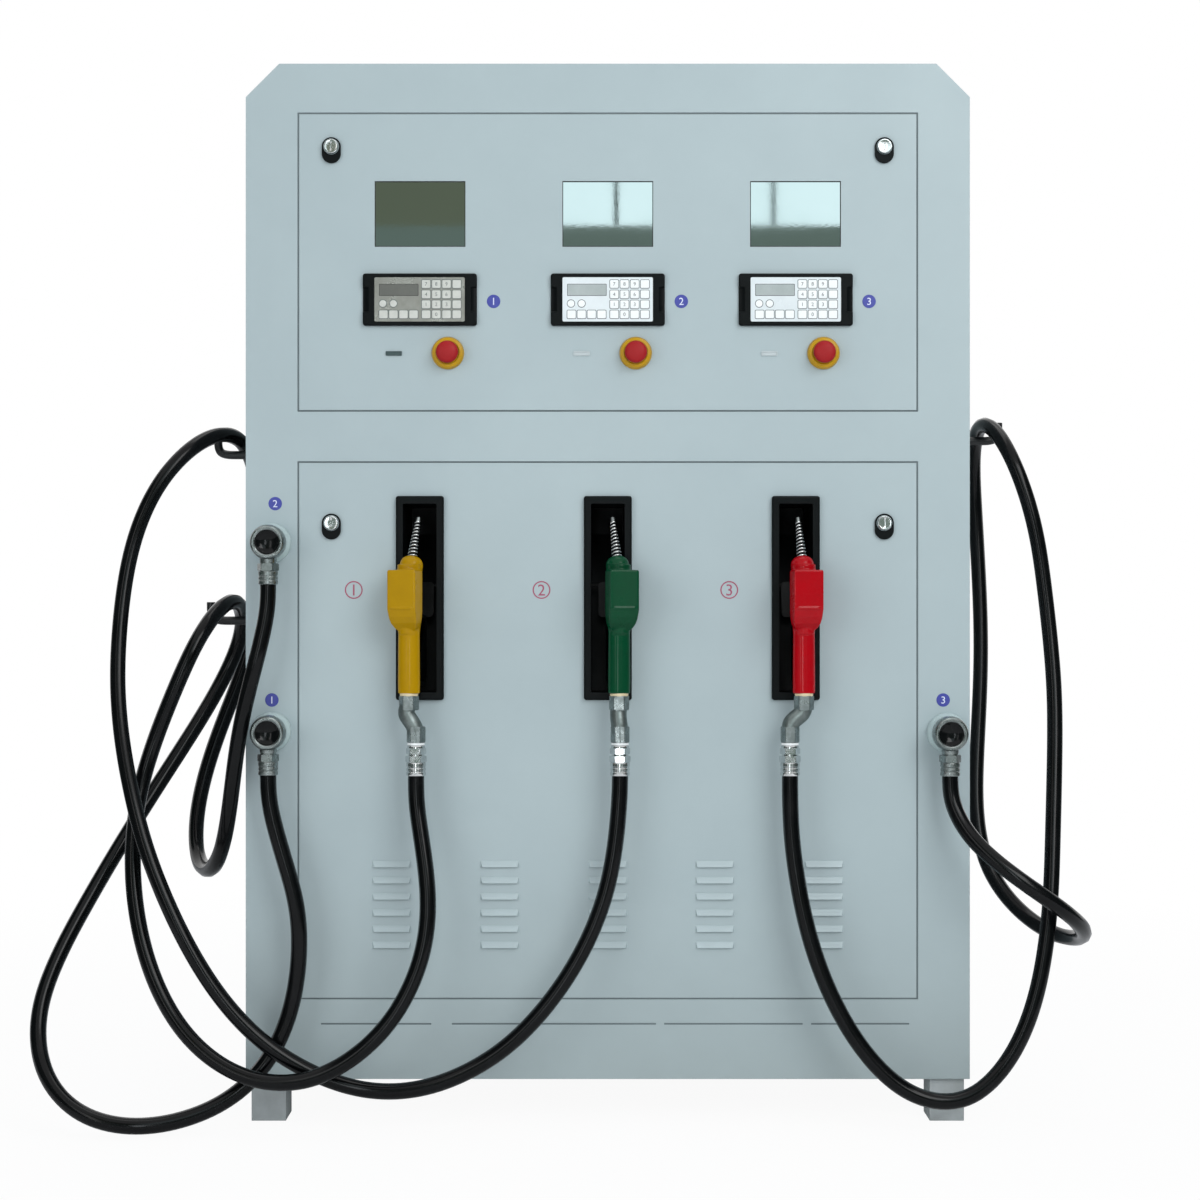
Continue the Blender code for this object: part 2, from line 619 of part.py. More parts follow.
def build_upper_door():
    """The upper door: it carries the windows, keypads and stop buttons and turns on a pin in its foot."""
    door = panel_tray(DOOR_BOTTOM, DOOR_TOP)
    y, z = hinge_axis()
    for x in (-KNUCKLE_SPREAD, 0.0, KNUCKLE_SPREAD):
        ends = [(x + way * KNUCKLE_LENGTH / 2, y, z) for way in (-1, 1)]
        add(door, rod(*ends, KNUCKLE_RADIUS, ROUND))
    for x in (-LOCK_X, LOCK_X):
        boss, hole = lock_boss(x, LOCK_UPPER_Z)
        add(door, boss)
        cut(door, hole)
    bore = HINGE_PIN_RADIUS + HINGE_RUNNING_CLEARANCE
    cut(door, rod((-PANEL_WIDTH, y, z), (PANEL_WIDTH, y, z), bore, ROUND))
    for x in COLUMNS:
        for centre_z, (wide, high) in ((WINDOW_CENTRE_Z, WINDOW_SIZE), (KEYPAD_CENTRE_Z, KEYPAD_BODY)):
            grow = FIT_GAP if (wide, high) == KEYPAD_BODY else 0.0
            cut(door, box((x - wide / 2 - grow, at_depth(-CLEAR), centre_z - high / 2 - grow),
                          (x + wide / 2 + grow, at_depth(CLEAR), centre_z + high / 2 + grow)))
        stop_x = x + STOP_OFFSET_X
        cut(door, rod((stop_x, at_depth(-CLEAR), STOP_CENTRE_Z), (stop_x, at_depth(CLEAR), STOP_CENTRE_Z),
                      STOP_BARREL_RADIUS + FIT_GAP, ROUND))
    node("upper_door", door, PAINT)
    half = PANEL_WIDTH / 2 + PANEL_GAP + 2 * SHEET
    node("upper_door_hinge_pin", rod((-half, y, z), (half, y, z), HINGE_PIN_RADIUS, ROUND), STEEL)


def boot_body(grow, near, back):
    """The boot's wedge, seen from the side: deep at the top, shallow at the foot."""
    half_high = BOOT_MOUTH[1] / 2 + grow
    top, foot = BOOT_CENTRE_Z + half_high, BOOT_CENTRE_Z - half_high
    return [
        (near, foot),
        (at_depth(BOOT_DEPTH_BOTTOM + back), foot),
        (at_depth(BOOT_DEPTH_TOP + back), top - BOOT_BACK_STRAIGHT),
        (at_depth(BOOT_DEPTH_TOP + back), top),
        (near, top),
    ]


def build_boot(number, x):
    """A moulded boot that a nozzle stands in, with its flange lying on the lower panel."""
    near = at_depth(-FIT_GAP)
    half = BOOT_MOUTH[0] / 2
    wedge = boot_body(BOOT_WALL, near - BOOT_FLANGE_PROUD / 2, BOOT_WALL)
    boot = prism(wedge, x - half - BOOT_WALL, x + half + BOOT_WALL, "YZ")
    wide, high = BOOT_FLANGE
    flange = box((x - wide / 2, near - BOOT_FLANGE_PROUD, BOOT_CENTRE_Z - high / 2),
                 (x + wide / 2, near, BOOT_CENTRE_Z + high / 2))
    add(boot, flange)
    cut(boot, prism(boot_body(0.0, at_depth(-CLEAR), 0.0), x - half, x + half, "YZ"))
    node(f"nozzle_boot_{number}", boot, BLACK)


def build_lower_panel():
    """The lower panel that covers the pumps, with openings for the three boots."""
    panel = panel_tray(LOWER_BOTTOM, LOWER_TOP)
    for x in (-LOCK_X, LOCK_X):
        boss, hole = lock_boss(x, LOCK_LOWER_Z)
        add(panel, boss)
        cut(panel, hole)
    margin = BOOT_WALL + FIT_GAP
    for x in COLUMNS:
        wide, high = (side / 2 + margin for side in BOOT_MOUTH)
        cut(panel, box((x - wide, at_depth(-CLEAR), BOOT_CENTRE_Z - high),
                       (x + wide, at_depth(CLEAR), BOOT_CENTRE_Z + high)))
    node("lower_panel", panel, PAINT)


def build_lock(number, x, z):
    """A quarter-turn lock: head, barrel and cam in one piece that turns about its barrel."""
    side = math.copysign(1, x)
    face = -LOCK_BOSS[2] - FIT_GAP
    pivot = (x, at_depth(face), z)
    edge = LOCK_HEAD_CHAMFER
    head = turned([(0, LOCK_HEAD_PROUD), (LOCK_HEAD_RADIUS - edge, LOCK_HEAD_PROUD),
                   (LOCK_HEAD_RADIUS, LOCK_HEAD_PROUD - edge), (LOCK_HEAD_RADIUS, 0), (0, 0)],
                  pivot, pivot=pivot)
    length, wide, thick = LOCK_CAM
    cam_near = EDGE_FOLD + 3 * FIT_GAP
    add(head, rod((x, at_depth(face - SHEET), z), (x, at_depth(cam_near + thick), z),
                  LOCK_BARREL_RADIUS, INNER_ROUND))
    ends = sorted((x - side * wide / 2, x + side * length))
    add(head, box((ends[0], at_depth(cam_near), z - wide / 2),
                  (ends[1], at_depth(cam_near + thick), z + wide / 2)))
    node(f"lock_{number}", head, CHROME)


def build_display_window(number, x):
    """A display's glass, behind the door's skin."""
    wide, high = (side / 2 + WINDOW_LAP for side in WINDOW_SIZE)
    near = at_depth(SHEET + FIT_GAP)
    pane = box((x - wide, near, WINDOW_CENTRE_Z - high),
               (x + wide, near + WINDOW_THICKNESS, WINDOW_CENTRE_Z + high))
    node(f"display_window_{number}", pane, GLASS)


def build_keypad(number, x):
    """A membrane keypad: its bezel lies on the door and its body goes through it."""
    wide, high = (side / 2 for side in KEYPAD_SIZE)
    near = at_depth(-FIT_GAP)
    keypad = box((x - wide, near - KEYPAD_PROUD, KEYPAD_CENTRE_Z - high),
                 (x + wide, near, KEYPAD_CENTRE_Z + high), bevel=0.003)
    wide, high = (side / 2 for side in KEYPAD_BODY)
    add(keypad, box((x - wide, near - KEYPAD_PROUD / 2, KEYPAD_CENTRE_Z - high),
                    (x + wide, at_depth(KEYPAD_BODY_DEPTH), KEYPAD_CENTRE_Z + high)))
    node(f"keypad_{number}", keypad, BLACK)


def build_stop_button(number, x):
    """A stop button: a fixed yellow collar with its contact block, and the red cap that is pushed."""
    z = STOP_CENTRE_Z
    base = at_depth(-FIT_GAP)
    collar = turned([(0, STOP_COLLAR_PROUD), (0.020, STOP_COLLAR_PROUD), (0.026, STOP_COLLAR_PROUD - 0.003),
                     (STOP_COLLAR_RADIUS, 0.003), (STOP_COLLAR_RADIUS, 0), (0, 0)], (x, base, z))
    add(collar, rod((x, base - SHEET, z), (x, at_depth(PANEL_FOLD + SHEET), z),
                    STOP_BARREL_RADIUS, INNER_ROUND))
    wide, high, deep = STOP_BLOCK
    add(collar, box((x - wide / 2, at_depth(PANEL_FOLD), z - high / 2),
                    (x + wide / 2, at_depth(PANEL_FOLD + deep), z + high / 2)))
    bore_end = at_depth(PANEL_FOLD + deep / 2)
    cut(collar, rod((x, at_depth(-CLEAR), z), (x, bore_end, z),
                    STOP_STEM_RADIUS + STOP_STEM_CLEARANCE, INNER_ROUND))
    node(f"stop_collar_{number}", collar, YELLOW)
    cap_back = STOP_COLLAR_PROUD + STOP_TRAVEL + 0.003
    pivot = (x, base - cap_back, z)
    top = STOP_CAP_HEIGHT
    cap = turned([(0, top), (0.008, top - 0.0004), (0.014, top - 0.002), (0.0185, top - 0.0055),
                  (STOP_CAP_RADIUS, top - 0.009), (STOP_CAP_RADIUS - 0.001, 0), (0, 0)], pivot, pivot=pivot)
    add(cap, rod((x, pivot[1] - 0.002, z), (x, at_depth(PANEL_FOLD), z), STOP_STEM_RADIUS, INNER_ROUND))
    node(f"stop_button_{number}", cap, RED)


def nozzle_place(number):
    """The matrix that puts a nozzle, drawn about its grip's axis, in its boot."""
    x, turn = NOZZLE_GRIPS[number - 1]
    stand = Matrix.Translation((x, at_depth(-NOZZLE_GRIP_FORWARD), 0))
    return stand @ Matrix.Rotation(math.radians(turn), 4, "Z")


def place_shape(shape, matrix):
    """Moves a shape and the shapes that its Booleans use."""
    for step in shape.modifiers:
        if step.type == "BOOLEAN":
            place_shape(step.object, matrix)
    shape.matrix_basis = matrix @ shape.matrix_basis


def build_nozzle(number):
    """A nozzle: covered body, spout, guard and lever, drawn facing -Y, then turned into its boot."""
    place = nozzle_place(number)
    grip = rod((0, 0, GRIP_BOTTOM), (0, 0, GRIP_TOP), 1.0, INNER_ROUND)
    grip.data.transform(Matrix.Diagonal((*GRIP_HALF, 1.0, 1.0)))
    side_view = [
        (-BODY_FORWARD / 2, BODY_BOTTOM),
        (-BODY_FORWARD, BODY_BOTTOM + BODY_UNDERCUT),
        (-BODY_FORWARD, BODY_TOP),
        (BODY_WAIST, BODY_TOP),
        (BODY_WAIST, BODY_BOTTOM),
    ]
    body = prism(side_view, -BODY_WIDTH / 2, BODY_WIDTH / 2, "YZ")
    soften = body.modifiers.new("soften", "BEVEL")
    soften.width = BODY_SOFTENING
    soften.segments = 2
    column = [(0, 0, BODY_BOTTOM - BODY_SOFTENING), (0, 0, BODY_TOP + BODY_SOFTENING)]
    add(body, grip, rod(*column, COLLAR_RADIUS, ROUND))
    lean = (Vector((0, *SPOUT_BEND)) - Vector((0, *SPOUT_SEAT))).normalized()
    seat = Vector((0, *SPOUT_SEAT))
    add(body, rod(seat - lean * 0.018, seat + lean * 0.012, COLLAR_RADIUS, INNER_ROUND))
    guard = box((-GUARD_WIDTH / 2, GRIP_HALF[1] / 2, GUARD_BOTTOM),
                (GUARD_WIDTH / 2, GUARD_BACK, GUARD_TOP))
    cut(guard, box((-GUARD_WIDTH, -CLEAR, GUARD_BOTTOM + GUARD_STRAP),
                   (GUARD_WIDTH, GUARD_BACK - GUARD_STRAP, GUARD_TOP - GUARD_STRAP)))
    add(body, guard)
    pin_ends = [(way * GUARD_WIDTH / 2, *LEVER_PIVOT) for way in (-1, 1)]
    cheeks = box((-GUARD_WIDTH / 2, LEVER_PIVOT[0] - 0.007, LEVER_PIVOT[1] - 0.007),
                 (GUARD_WIDTH / 2, LEVER_PIVOT[0] + 0.007, GUARD_TOP))
    slot_half = LEVER_WIDTH / 2 + FIT_GAP
    cut(cheeks, box((-slot_half, LEVER_PIVOT[0] - CLEAR, LEVER_PIVOT[1] - CLEAR),
                    (slot_half, LEVER_PIVOT[0] + CLEAR, LEVER_PIVOT[1] + 0.0065)))
    add(cheeks, rod(*pin_ends, LEVER_PIN_RADIUS, ROUND))
    add(body, cheeks)
    place_shape(body, place)
    node(f"nozzle_body_{number}", body, COVERS[number - 1])

    start = seat + lean * (0.012 + FIT_GAP)
    spout = tube_along([start, Vector((0, *SPOUT_BEND)), Vector((0, *SPOUT_TIP))], SPOUT_RADIUS, 3)
    place_shape(spout, place)
    node(f"nozzle_spout_{number}", spout, CHROME, smooth=True)

    y, z = LEVER_PIVOT
    eye = rod((-LEVER_WIDTH / 2, y, z), (LEVER_WIDTH / 2, y, z), 0.0058, ROUND, pivot=(0, y, z))
    blade = box((-LEVER_WIDTH / 2, y, z - LEVER_LENGTH), (LEVER_WIDTH / 2, y + LEVER_THICKNESS, z),
                pivot=(0, y, z))
    add(eye, blade)
    cut(eye, rod((-LEVER_WIDTH, y, z), (LEVER_WIDTH, y, z), LEVER_PIN_RADIUS + LEVER_BORE_CLEARANCE, ROUND))
    place_shape(eye, place)
    node(f"nozzle_lever_{number}", eye, BLACK)


def build_swivel_and_coupling(number):
    """The cranked swivel under a nozzle's grip and the coupling that turns on the hose's end."""
    grip_x, _ = NOZZLE_GRIPS[number - 1]
    hose_x = HOSE_TOPS_X[number - 1]
    grip_y, hose_y = at_depth(-NOZZLE_GRIP_FORWARD), at_depth(-HOSE_FORWARD)
    kick = SWIVEL_KICKS[number - 1]
    top = GRIP_BOTTOM - FIT_GAP
    low = COUPLING_TOP + FIT_GAP
    span = top - low
    path = [
        (grip_x, grip_y, top),
        (grip_x, grip_y, top - 0.25 * span),
        (grip_x + kick, grip_y, top - 0.45 * span),
        (hose_x, hose_y, low + 0.22 * span),
        (hose_x, hose_y, low),
    ]
    swivel = tube_along(path, SWIVEL_RADIUS, 3)
    node(f"nozzle_swivel_{number}", swivel, STEEL, smooth=True)
    high = COUPLING_TOP - COUPLING_BOTTOM
    pivot = (hose_x, hose_y, COUPLING_BOTTOM)
    coupling = turned([(0, high), (0.013, high), (0.016, high - 0.004), (0.016, high * 0.62),
                       (COUPLING_RADIUS, high * 0.58), (COUPLING_RADIUS, 0.002), (0.016, 0), (0, 0)],
                      pivot, "+Z", ROUND, pivot=pivot)
    node(f"hose_coupling_{number}", coupling, CHROME, smooth=True)


def build_outlet(number, x, z):
    """A hose outlet on the front frame: cup, ring with an open middle, and a stub with its ferrule."""
    base = at_depth(-FIT_GAP)
    outlet = turned([(0, OUTLET_PROUD), (0.0255, OUTLET_PROUD), (OUTLET_RING_RADIUS, OUTLET_PROUD - 0.003),
                     (OUTLET_RING_RADIUS, 0.026), (0.031, 0.022), (OUTLET_BASE_RADIUS, 0.016),
                     (OUTLET_BASE_RADIUS, 0), (0, 0)], (x, base, z))
    add(outlet, rod((x, base - 0.010, z), (x, at_depth(EDGE_FOLD), z), OUTLET_NIPPLE_RADIUS, INNER_ROUND))
    y = at_depth(-OUTLET_FORWARD)
    end = z - OUTLET_DROP
    add(outlet, rod((x, y, z), (x, y, end + 0.010), 0.0135, INNER_ROUND))
    add(outlet, rod((x, y, end + 0.034), (x, y, end + FIT_GAP), OUTLET_FERRULE_RADIUS, INNER_ROUND))
    cut(outlet, rod((x, base - OUTLET_PROUD - CLEAR, z), (x, base - OUTLET_PROUD + 0.012, z),
                    OUTLET_BORE_RADIUS, INNER_ROUND))
    node(f"hose_outlet_{number}", outlet, CHROME)


def build_hanger(number, side, depth, z):
    """A hose hanger: a plate on the cabinet's side and a bar with its tip turned up."""
    y = at_depth(depth)
    wall = side * (CABINET_WIDTH / 2 + FIT_GAP)
    thick, wide, high = HANGER_PLATE
    ends = sorted((wall, wall + side * thick))
    middle = z - HANGER_PLATE_DROP
    plate = box((ends[0], y - wide / 2, middle - high / 2), (ends[1], y + wide / 2, middle + high / 2))
    tip = side * (CABINET_WIDTH / 2 + HANGER_REACH)
    bend = HANGER_ARM_RADIUS * 1.6
    line = [
        (wall + side * thick / 2, y, z),
        (tip - side * bend, y, z),
        (tip - side * bend * 0.3, y, z + bend * 0.4),
        (tip, y, z + bend),
        (tip, y, z + HANGER_TIP_RISE),
    ]
    arm = tube_along(line, HANGER_ARM_RADIUS, 2)
    node(f"hose_hanger_{number}", add(plate, arm), BLACK)


def curve_points(route, steps=12):
    """Points along a smooth curve that follows a route's own points and starts and ends on its end ones."""
    first = [2 * a - b for a, b in zip(route[0], route[1])]
    last = [2 * a - b for a, b in zip(route[-1], route[-2])]
    knots = [Vector(p) for p in (first, *route, last)]
    found = []
    for a, b, c, d in zip(knots, knots[1:], knots[2:], knots[3:]):
        for step in range(steps):
            t = step / steps
            found.append(((1 - t) ** 3 * a + (3 * t**3 - 6 * t**2 + 4) * b
                          + (-3 * t**3 + 3 * t**2 + 3 * t + 1) * c + t**3 * d) / 6)
    found.append(Vector(route[-1]))
    return found


def evenly_spaced(points, spacing):
    """Points at an even spacing along a line of points, ends kept."""
    lengths = [(b - a).length for a, b in zip(points, points[1:])]
    count = round(sum(lengths) / spacing)
    step = sum(lengths) / count
    found = [points[0]]
    travelled = 0.0
    for a, b, length in zip(points, points[1:], lengths):
        while len(found) < count and travelled + length >= len(found) * step:
            found.append(a.lerp(b, (len(found) * step - travelled) / length))
        travelled += length
    return found + [points[-1]]


def route_place(number, x, depth, z):
    """A route point, moved outwards with the cabinet's side and backwards as hoses get thicker."""
    share = min(max((abs(x) - ROUTE_FIXED_X) / (ROUTE_MOVED_X - ROUTE_FIXED_X), 0.0), 1.0)
    outwards = math.copysign(share, x) * (CABINET_WIDTH - ROUTE_CABINET_WIDTH) / 2
    backwards = share * ROUTE_SPREAD[number - 1] * (HOSE_RADIUS - ROUTE_HOSE_RADIUS)
    return x + outwards, at_depth(depth + backwards), z


def build_hose(number, route):
    """A fuel hose along its route."""
    outlet_x, outlet_z = OUTLETS[number - 1]
    places = [route_place(number, *point) for point in route]
    places[0] = (outlet_x, at_depth(-OUTLET_FORWARD), outlet_z - OUTLET_DROP)
    places[-1] = (HOSE_TOPS_X[number - 1], at_depth(-HOSE_FORWARD), COUPLING_BOTTOM - FIT_GAP)
    points = evenly_spaced(curve_points(places), HOSE_POINT_SPACING)
    straight = Vector((0, 0, HOSE_STRAIGHT_END))
    points = [points[0], points[0] - straight, *points[1:-1], points[-1] - straight, points[-1]]
    curve = bpy.data.curves.new(f"hose_{number}", "CURVE")
    curve.dimensions = "3D"
    curve.bevel_depth = HOSE_RADIUS
    curve.bevel_resolution = 2
    curve.use_fill_caps = True
    spline = curve.splines.new("POLY")
    spline.points.add(len(points) - 1)
    for point, place in zip(spline.points, points):
        point.co = (*place, 1.0)
    curve.materials.append(RUBBER)
    hose = bpy.data.objects.new(f"hose_{number}", curve)
    PARTS.objects.link(hose)


def build_pump_unit(number, x):
    """A vane pump and its motor on a foot, standing on the floor tray."""
    y = at_depth(PUMP_DEPTH_PLACE)
    floor = LEG_HEIGHT + SHEET + TRAY_WALL + 2 * FIT_GAP
    half_wide, half_deep, thick = PUMP_FOOT
    sunk = floor + thick - SHEET
    unit = box((x - half_wide, y - half_deep, floor), (x + half_wide, y + half_deep, floor + thick))
    (left, right), half, high = PUMP_HOUSING
    add(unit, box((x + left, y - half, sunk), (x + right, y + half, floor + high), bevel=0.010))
    (left, right), half, high = PUMP_BRACKET
    add(unit, box((x + left, y - half, sunk), (x + right, y + half, floor + high)))
    (left, right), height, radius = PUMP_MOTOR
    add(unit, rod((x + left, y, floor + height), (x + right, y, floor + height), radius, INNER_ROUND))
    middle, low, high, radius = PUMP_INLET
    add(unit, rod((x + middle, y, floor + low), (x + middle, y, floor + high), radius))
    node(f"pump_unit_{number}", unit, IRON)


def build_flow_meter(number, x):
    """A four-piston flow meter on its stand."""
    y = at_depth(METER_DEPTH_PLACE)
    floor = LEG_HEIGHT + SHEET + TRAY_WALL + 2 * FIT_GAP
    half, high = METER_STAND
    meter = box((x - half, y - half, floor), (x + half, y + half, floor + high))
    height, below, above, radius = METER_BODY
    z = floor + height
    add(meter, rod((x, y, z - below), (x, y, z + above), radius, INNER_ROUND))
    reach, radius = METER_CYLINDER
    add(meter, rod((x - reach, y, z), (x + reach, y, z), radius))
    add(meter, rod((x, y - reach, z), (x, y + reach, z), radius))
    low, high, radius = METER_PULSER
    add(meter, rod((x, y, z + low), (x, y, z + high), radius))
    node(f"flow_meter_{number}", meter, STEEL)


def build_control_unit():
    """The electronics box on the shelf behind the door."""
    wide, deep, high = CONTROL_BOX
    far = REAR - EDGE_FOLD - SHEET - 4 * FIT_GAP
    low = SHELF_HEIGHT + EDGE_FOLD + FIT_GAP
    unit = box((-wide / 2, far - deep, low), (wide / 2, far, low + high), bevel=0.004)
    node("control_unit", unit, GALVANISED)


def main():
    """Builds the dispenser from its cabinet out to its hoses."""
    build_front_frame()
    build_side_panel("left_side_panel", -1)
    build_side_panel("right_side_panel", 1)
    build_top_cover()
    build_rear_panel()
    build_base_frame()
    build_divider_shelf()
    build_upper_door()
    build_lower_panel()
    locks = [(x, z) for z in (LOCK_UPPER_Z, LOCK_LOWER_Z) for x in (-LOCK_X, LOCK_X)]
    for number, (x, z) in enumerate(locks, 1):
        build_lock(number, x, z)
    for number, x in enumerate(COLUMNS, 1):
        build_display_window(number, x)
        build_keypad(number, x)
        build_stop_button(number, x + STOP_OFFSET_X)
        build_boot(number, x)
        build_nozzle(number)
        build_swivel_and_coupling(number)
    for number, (x, z) in enumerate(OUTLETS, 1):
        build_outlet(number, x, z)
    for number, hanger in enumerate(HANGERS, 1):
        build_hanger(number, *hanger)
    for number, route in enumerate(HOSE_ROUTES, 1):
        build_hose(number, route)
    for number, (pump_x, meter_x) in enumerate(zip(PUMP_COLUMNS, METER_COLUMNS), 1):
        build_pump_unit(number, pump_x)
        build_flow_meter(number, meter_x)
    build_control_unit()


main()
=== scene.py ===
"""Looks of a three-hose fuel dispenser: finishes, mouldings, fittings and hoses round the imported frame."""

import logging
import math
from dataclasses import dataclass
from enum import Enum
from typing import Callable, Optional, Sequence

import bmesh
import bpy
from mathutils import Matrix, Vector


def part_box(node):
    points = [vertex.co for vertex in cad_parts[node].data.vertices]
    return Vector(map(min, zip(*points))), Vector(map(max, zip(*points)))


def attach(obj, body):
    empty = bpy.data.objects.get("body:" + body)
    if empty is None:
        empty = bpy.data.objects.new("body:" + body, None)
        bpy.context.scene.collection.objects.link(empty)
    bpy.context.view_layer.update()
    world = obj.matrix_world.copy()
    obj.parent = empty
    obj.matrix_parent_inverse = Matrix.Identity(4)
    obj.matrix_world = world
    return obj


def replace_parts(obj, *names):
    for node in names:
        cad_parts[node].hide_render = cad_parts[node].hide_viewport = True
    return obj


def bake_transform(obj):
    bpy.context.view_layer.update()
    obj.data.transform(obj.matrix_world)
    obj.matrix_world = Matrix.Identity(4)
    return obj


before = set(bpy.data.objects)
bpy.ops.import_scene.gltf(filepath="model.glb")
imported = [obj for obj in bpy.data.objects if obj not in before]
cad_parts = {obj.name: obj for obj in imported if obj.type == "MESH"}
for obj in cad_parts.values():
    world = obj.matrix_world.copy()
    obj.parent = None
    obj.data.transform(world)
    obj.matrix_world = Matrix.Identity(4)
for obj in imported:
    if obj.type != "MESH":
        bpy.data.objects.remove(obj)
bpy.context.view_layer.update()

LOG = logging.getLogger("dispenser")

MM = 0.001
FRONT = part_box("front_frame")[0].y
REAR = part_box("rear_panel")[1].y
COLUMN_NUMBERS = (1, 2, 3)
OUTLETS = ((-0.603, 0.7012), (-0.603, 1.0394), (0.6075, 0.6995))
HOSE_BLENDS = ((-0.508, -0.364), (-0.373, -0.014), (0.578, 0.345))
NOZZLE_PLACES = ((-0.353, -16.0, -0.008), (0.0200, 14.0, -0.002), (0.3480, 8.0, 0.0))

Point = Sequence[float]
Piece = bpy.types.Object
Test = Callable[[Vector, Vector], bool]

# The distance under which corners are one, and the bend under which faces are one.
SAME_PLACE = 1e-6
FLAT = math.radians(0.3)
# How far outlets and couplings stand before the front, and an outlet's axis lies under its top and over its end.
HOSE_FORWARD = 0.045
OUTLET_RISE = 0.035
OUTLET_DROP = 0.075
LOCK_X = 0.496
NUT_TURN = math.radians(28.0)
WHITE = (1.0, 1.0, 1.0, 1.0)


# ---------------------------------------------------------------- finishes


def linear(hex_colour: str) -> tuple[float, float, float, float]:
    """Turns an sRGB hex colour into linear red, green, blue and alpha.

    Args:
        hex_colour: Six hex digits with a leading #.

    Returns:
        The linear colour with alpha 1.
    """
    parts = [int(hex_colour[at:at + 2], 16) / 255 for at in (1, 3, 5)]
    low = [part / 12.92 if part <= 0.04045 else ((part + 0.055) / 1.055) ** 2.4 for part in parts]
    return (low[0], low[1], low[2], 1.0)


def add_node(tree: bpy.types.NodeTree, kind: str, settings: Optional[dict] = None,
             links: Optional[dict] = None) -> bpy.types.Node:
    """Adds a node, sets its properties and inputs, and links what feeds it.

    Args:
        tree: The node tree.
        kind: The node's type name.
        settings: Properties or input values by name or number.
        links: Output sockets by the input they feed.

    Returns:
        The new node.
    """
    node = tree.nodes.new(kind)
    for key, value in (settings or {}).items():
        if isinstance(key, str) and hasattr(node, key):
            setattr(node, key, value)
        else:
            node.inputs[key].default_value = value
    for key, socket in (links or {}).items():
        tree.links.new(socket, node.inputs[key])
    return node


class Texture(Enum):
    """How a surface was made, which sets its fine relief."""

    SPRAYED = "orange peel of a baked powder coat"
    MOULDED = "spark-eroded grain of a moulding tool"
    PLATED = "polish marks under plating"
    CAST = "sand or die casting skin"
    DIPPED = "soft ripple of dipped vinyl"
    DRAWN = "fine lines along a rolled or drawn surface"


# Grain size in mm, bump strength and bump depth in mm.
RELIEF = {
    Texture.SPRAYED: (1.4, 0.10, 0.06),
    Texture.MOULDED: (0.8, 0.22, 0.05),
    Texture.PLATED: (6.0, 0.10, 0.05),
    Texture.CAST: (2.2, 0.45, 0.20),
    Texture.DIPPED: (9.0, 0.25, 0.25),
    Texture.DRAWN: (1.2, 0.12, 0.04),
}
# The part of the noise that fades a surface into its worn colour, and the part that varies its gloss.
WEAR_NOISE = (0.36, 0.66)
GLOSS_NOISE = (0.3, 0.7)
# Darkening towards the bottom: its colour, the height where it ends and the height where it is strongest.
LOW_DARKENING_COLOUR = "#8C8F86"
LOW_DARKENING_HEIGHTS = (0.45, 0.02)
DRAWN_STRETCH = (1.0, 1.0, 0.12)


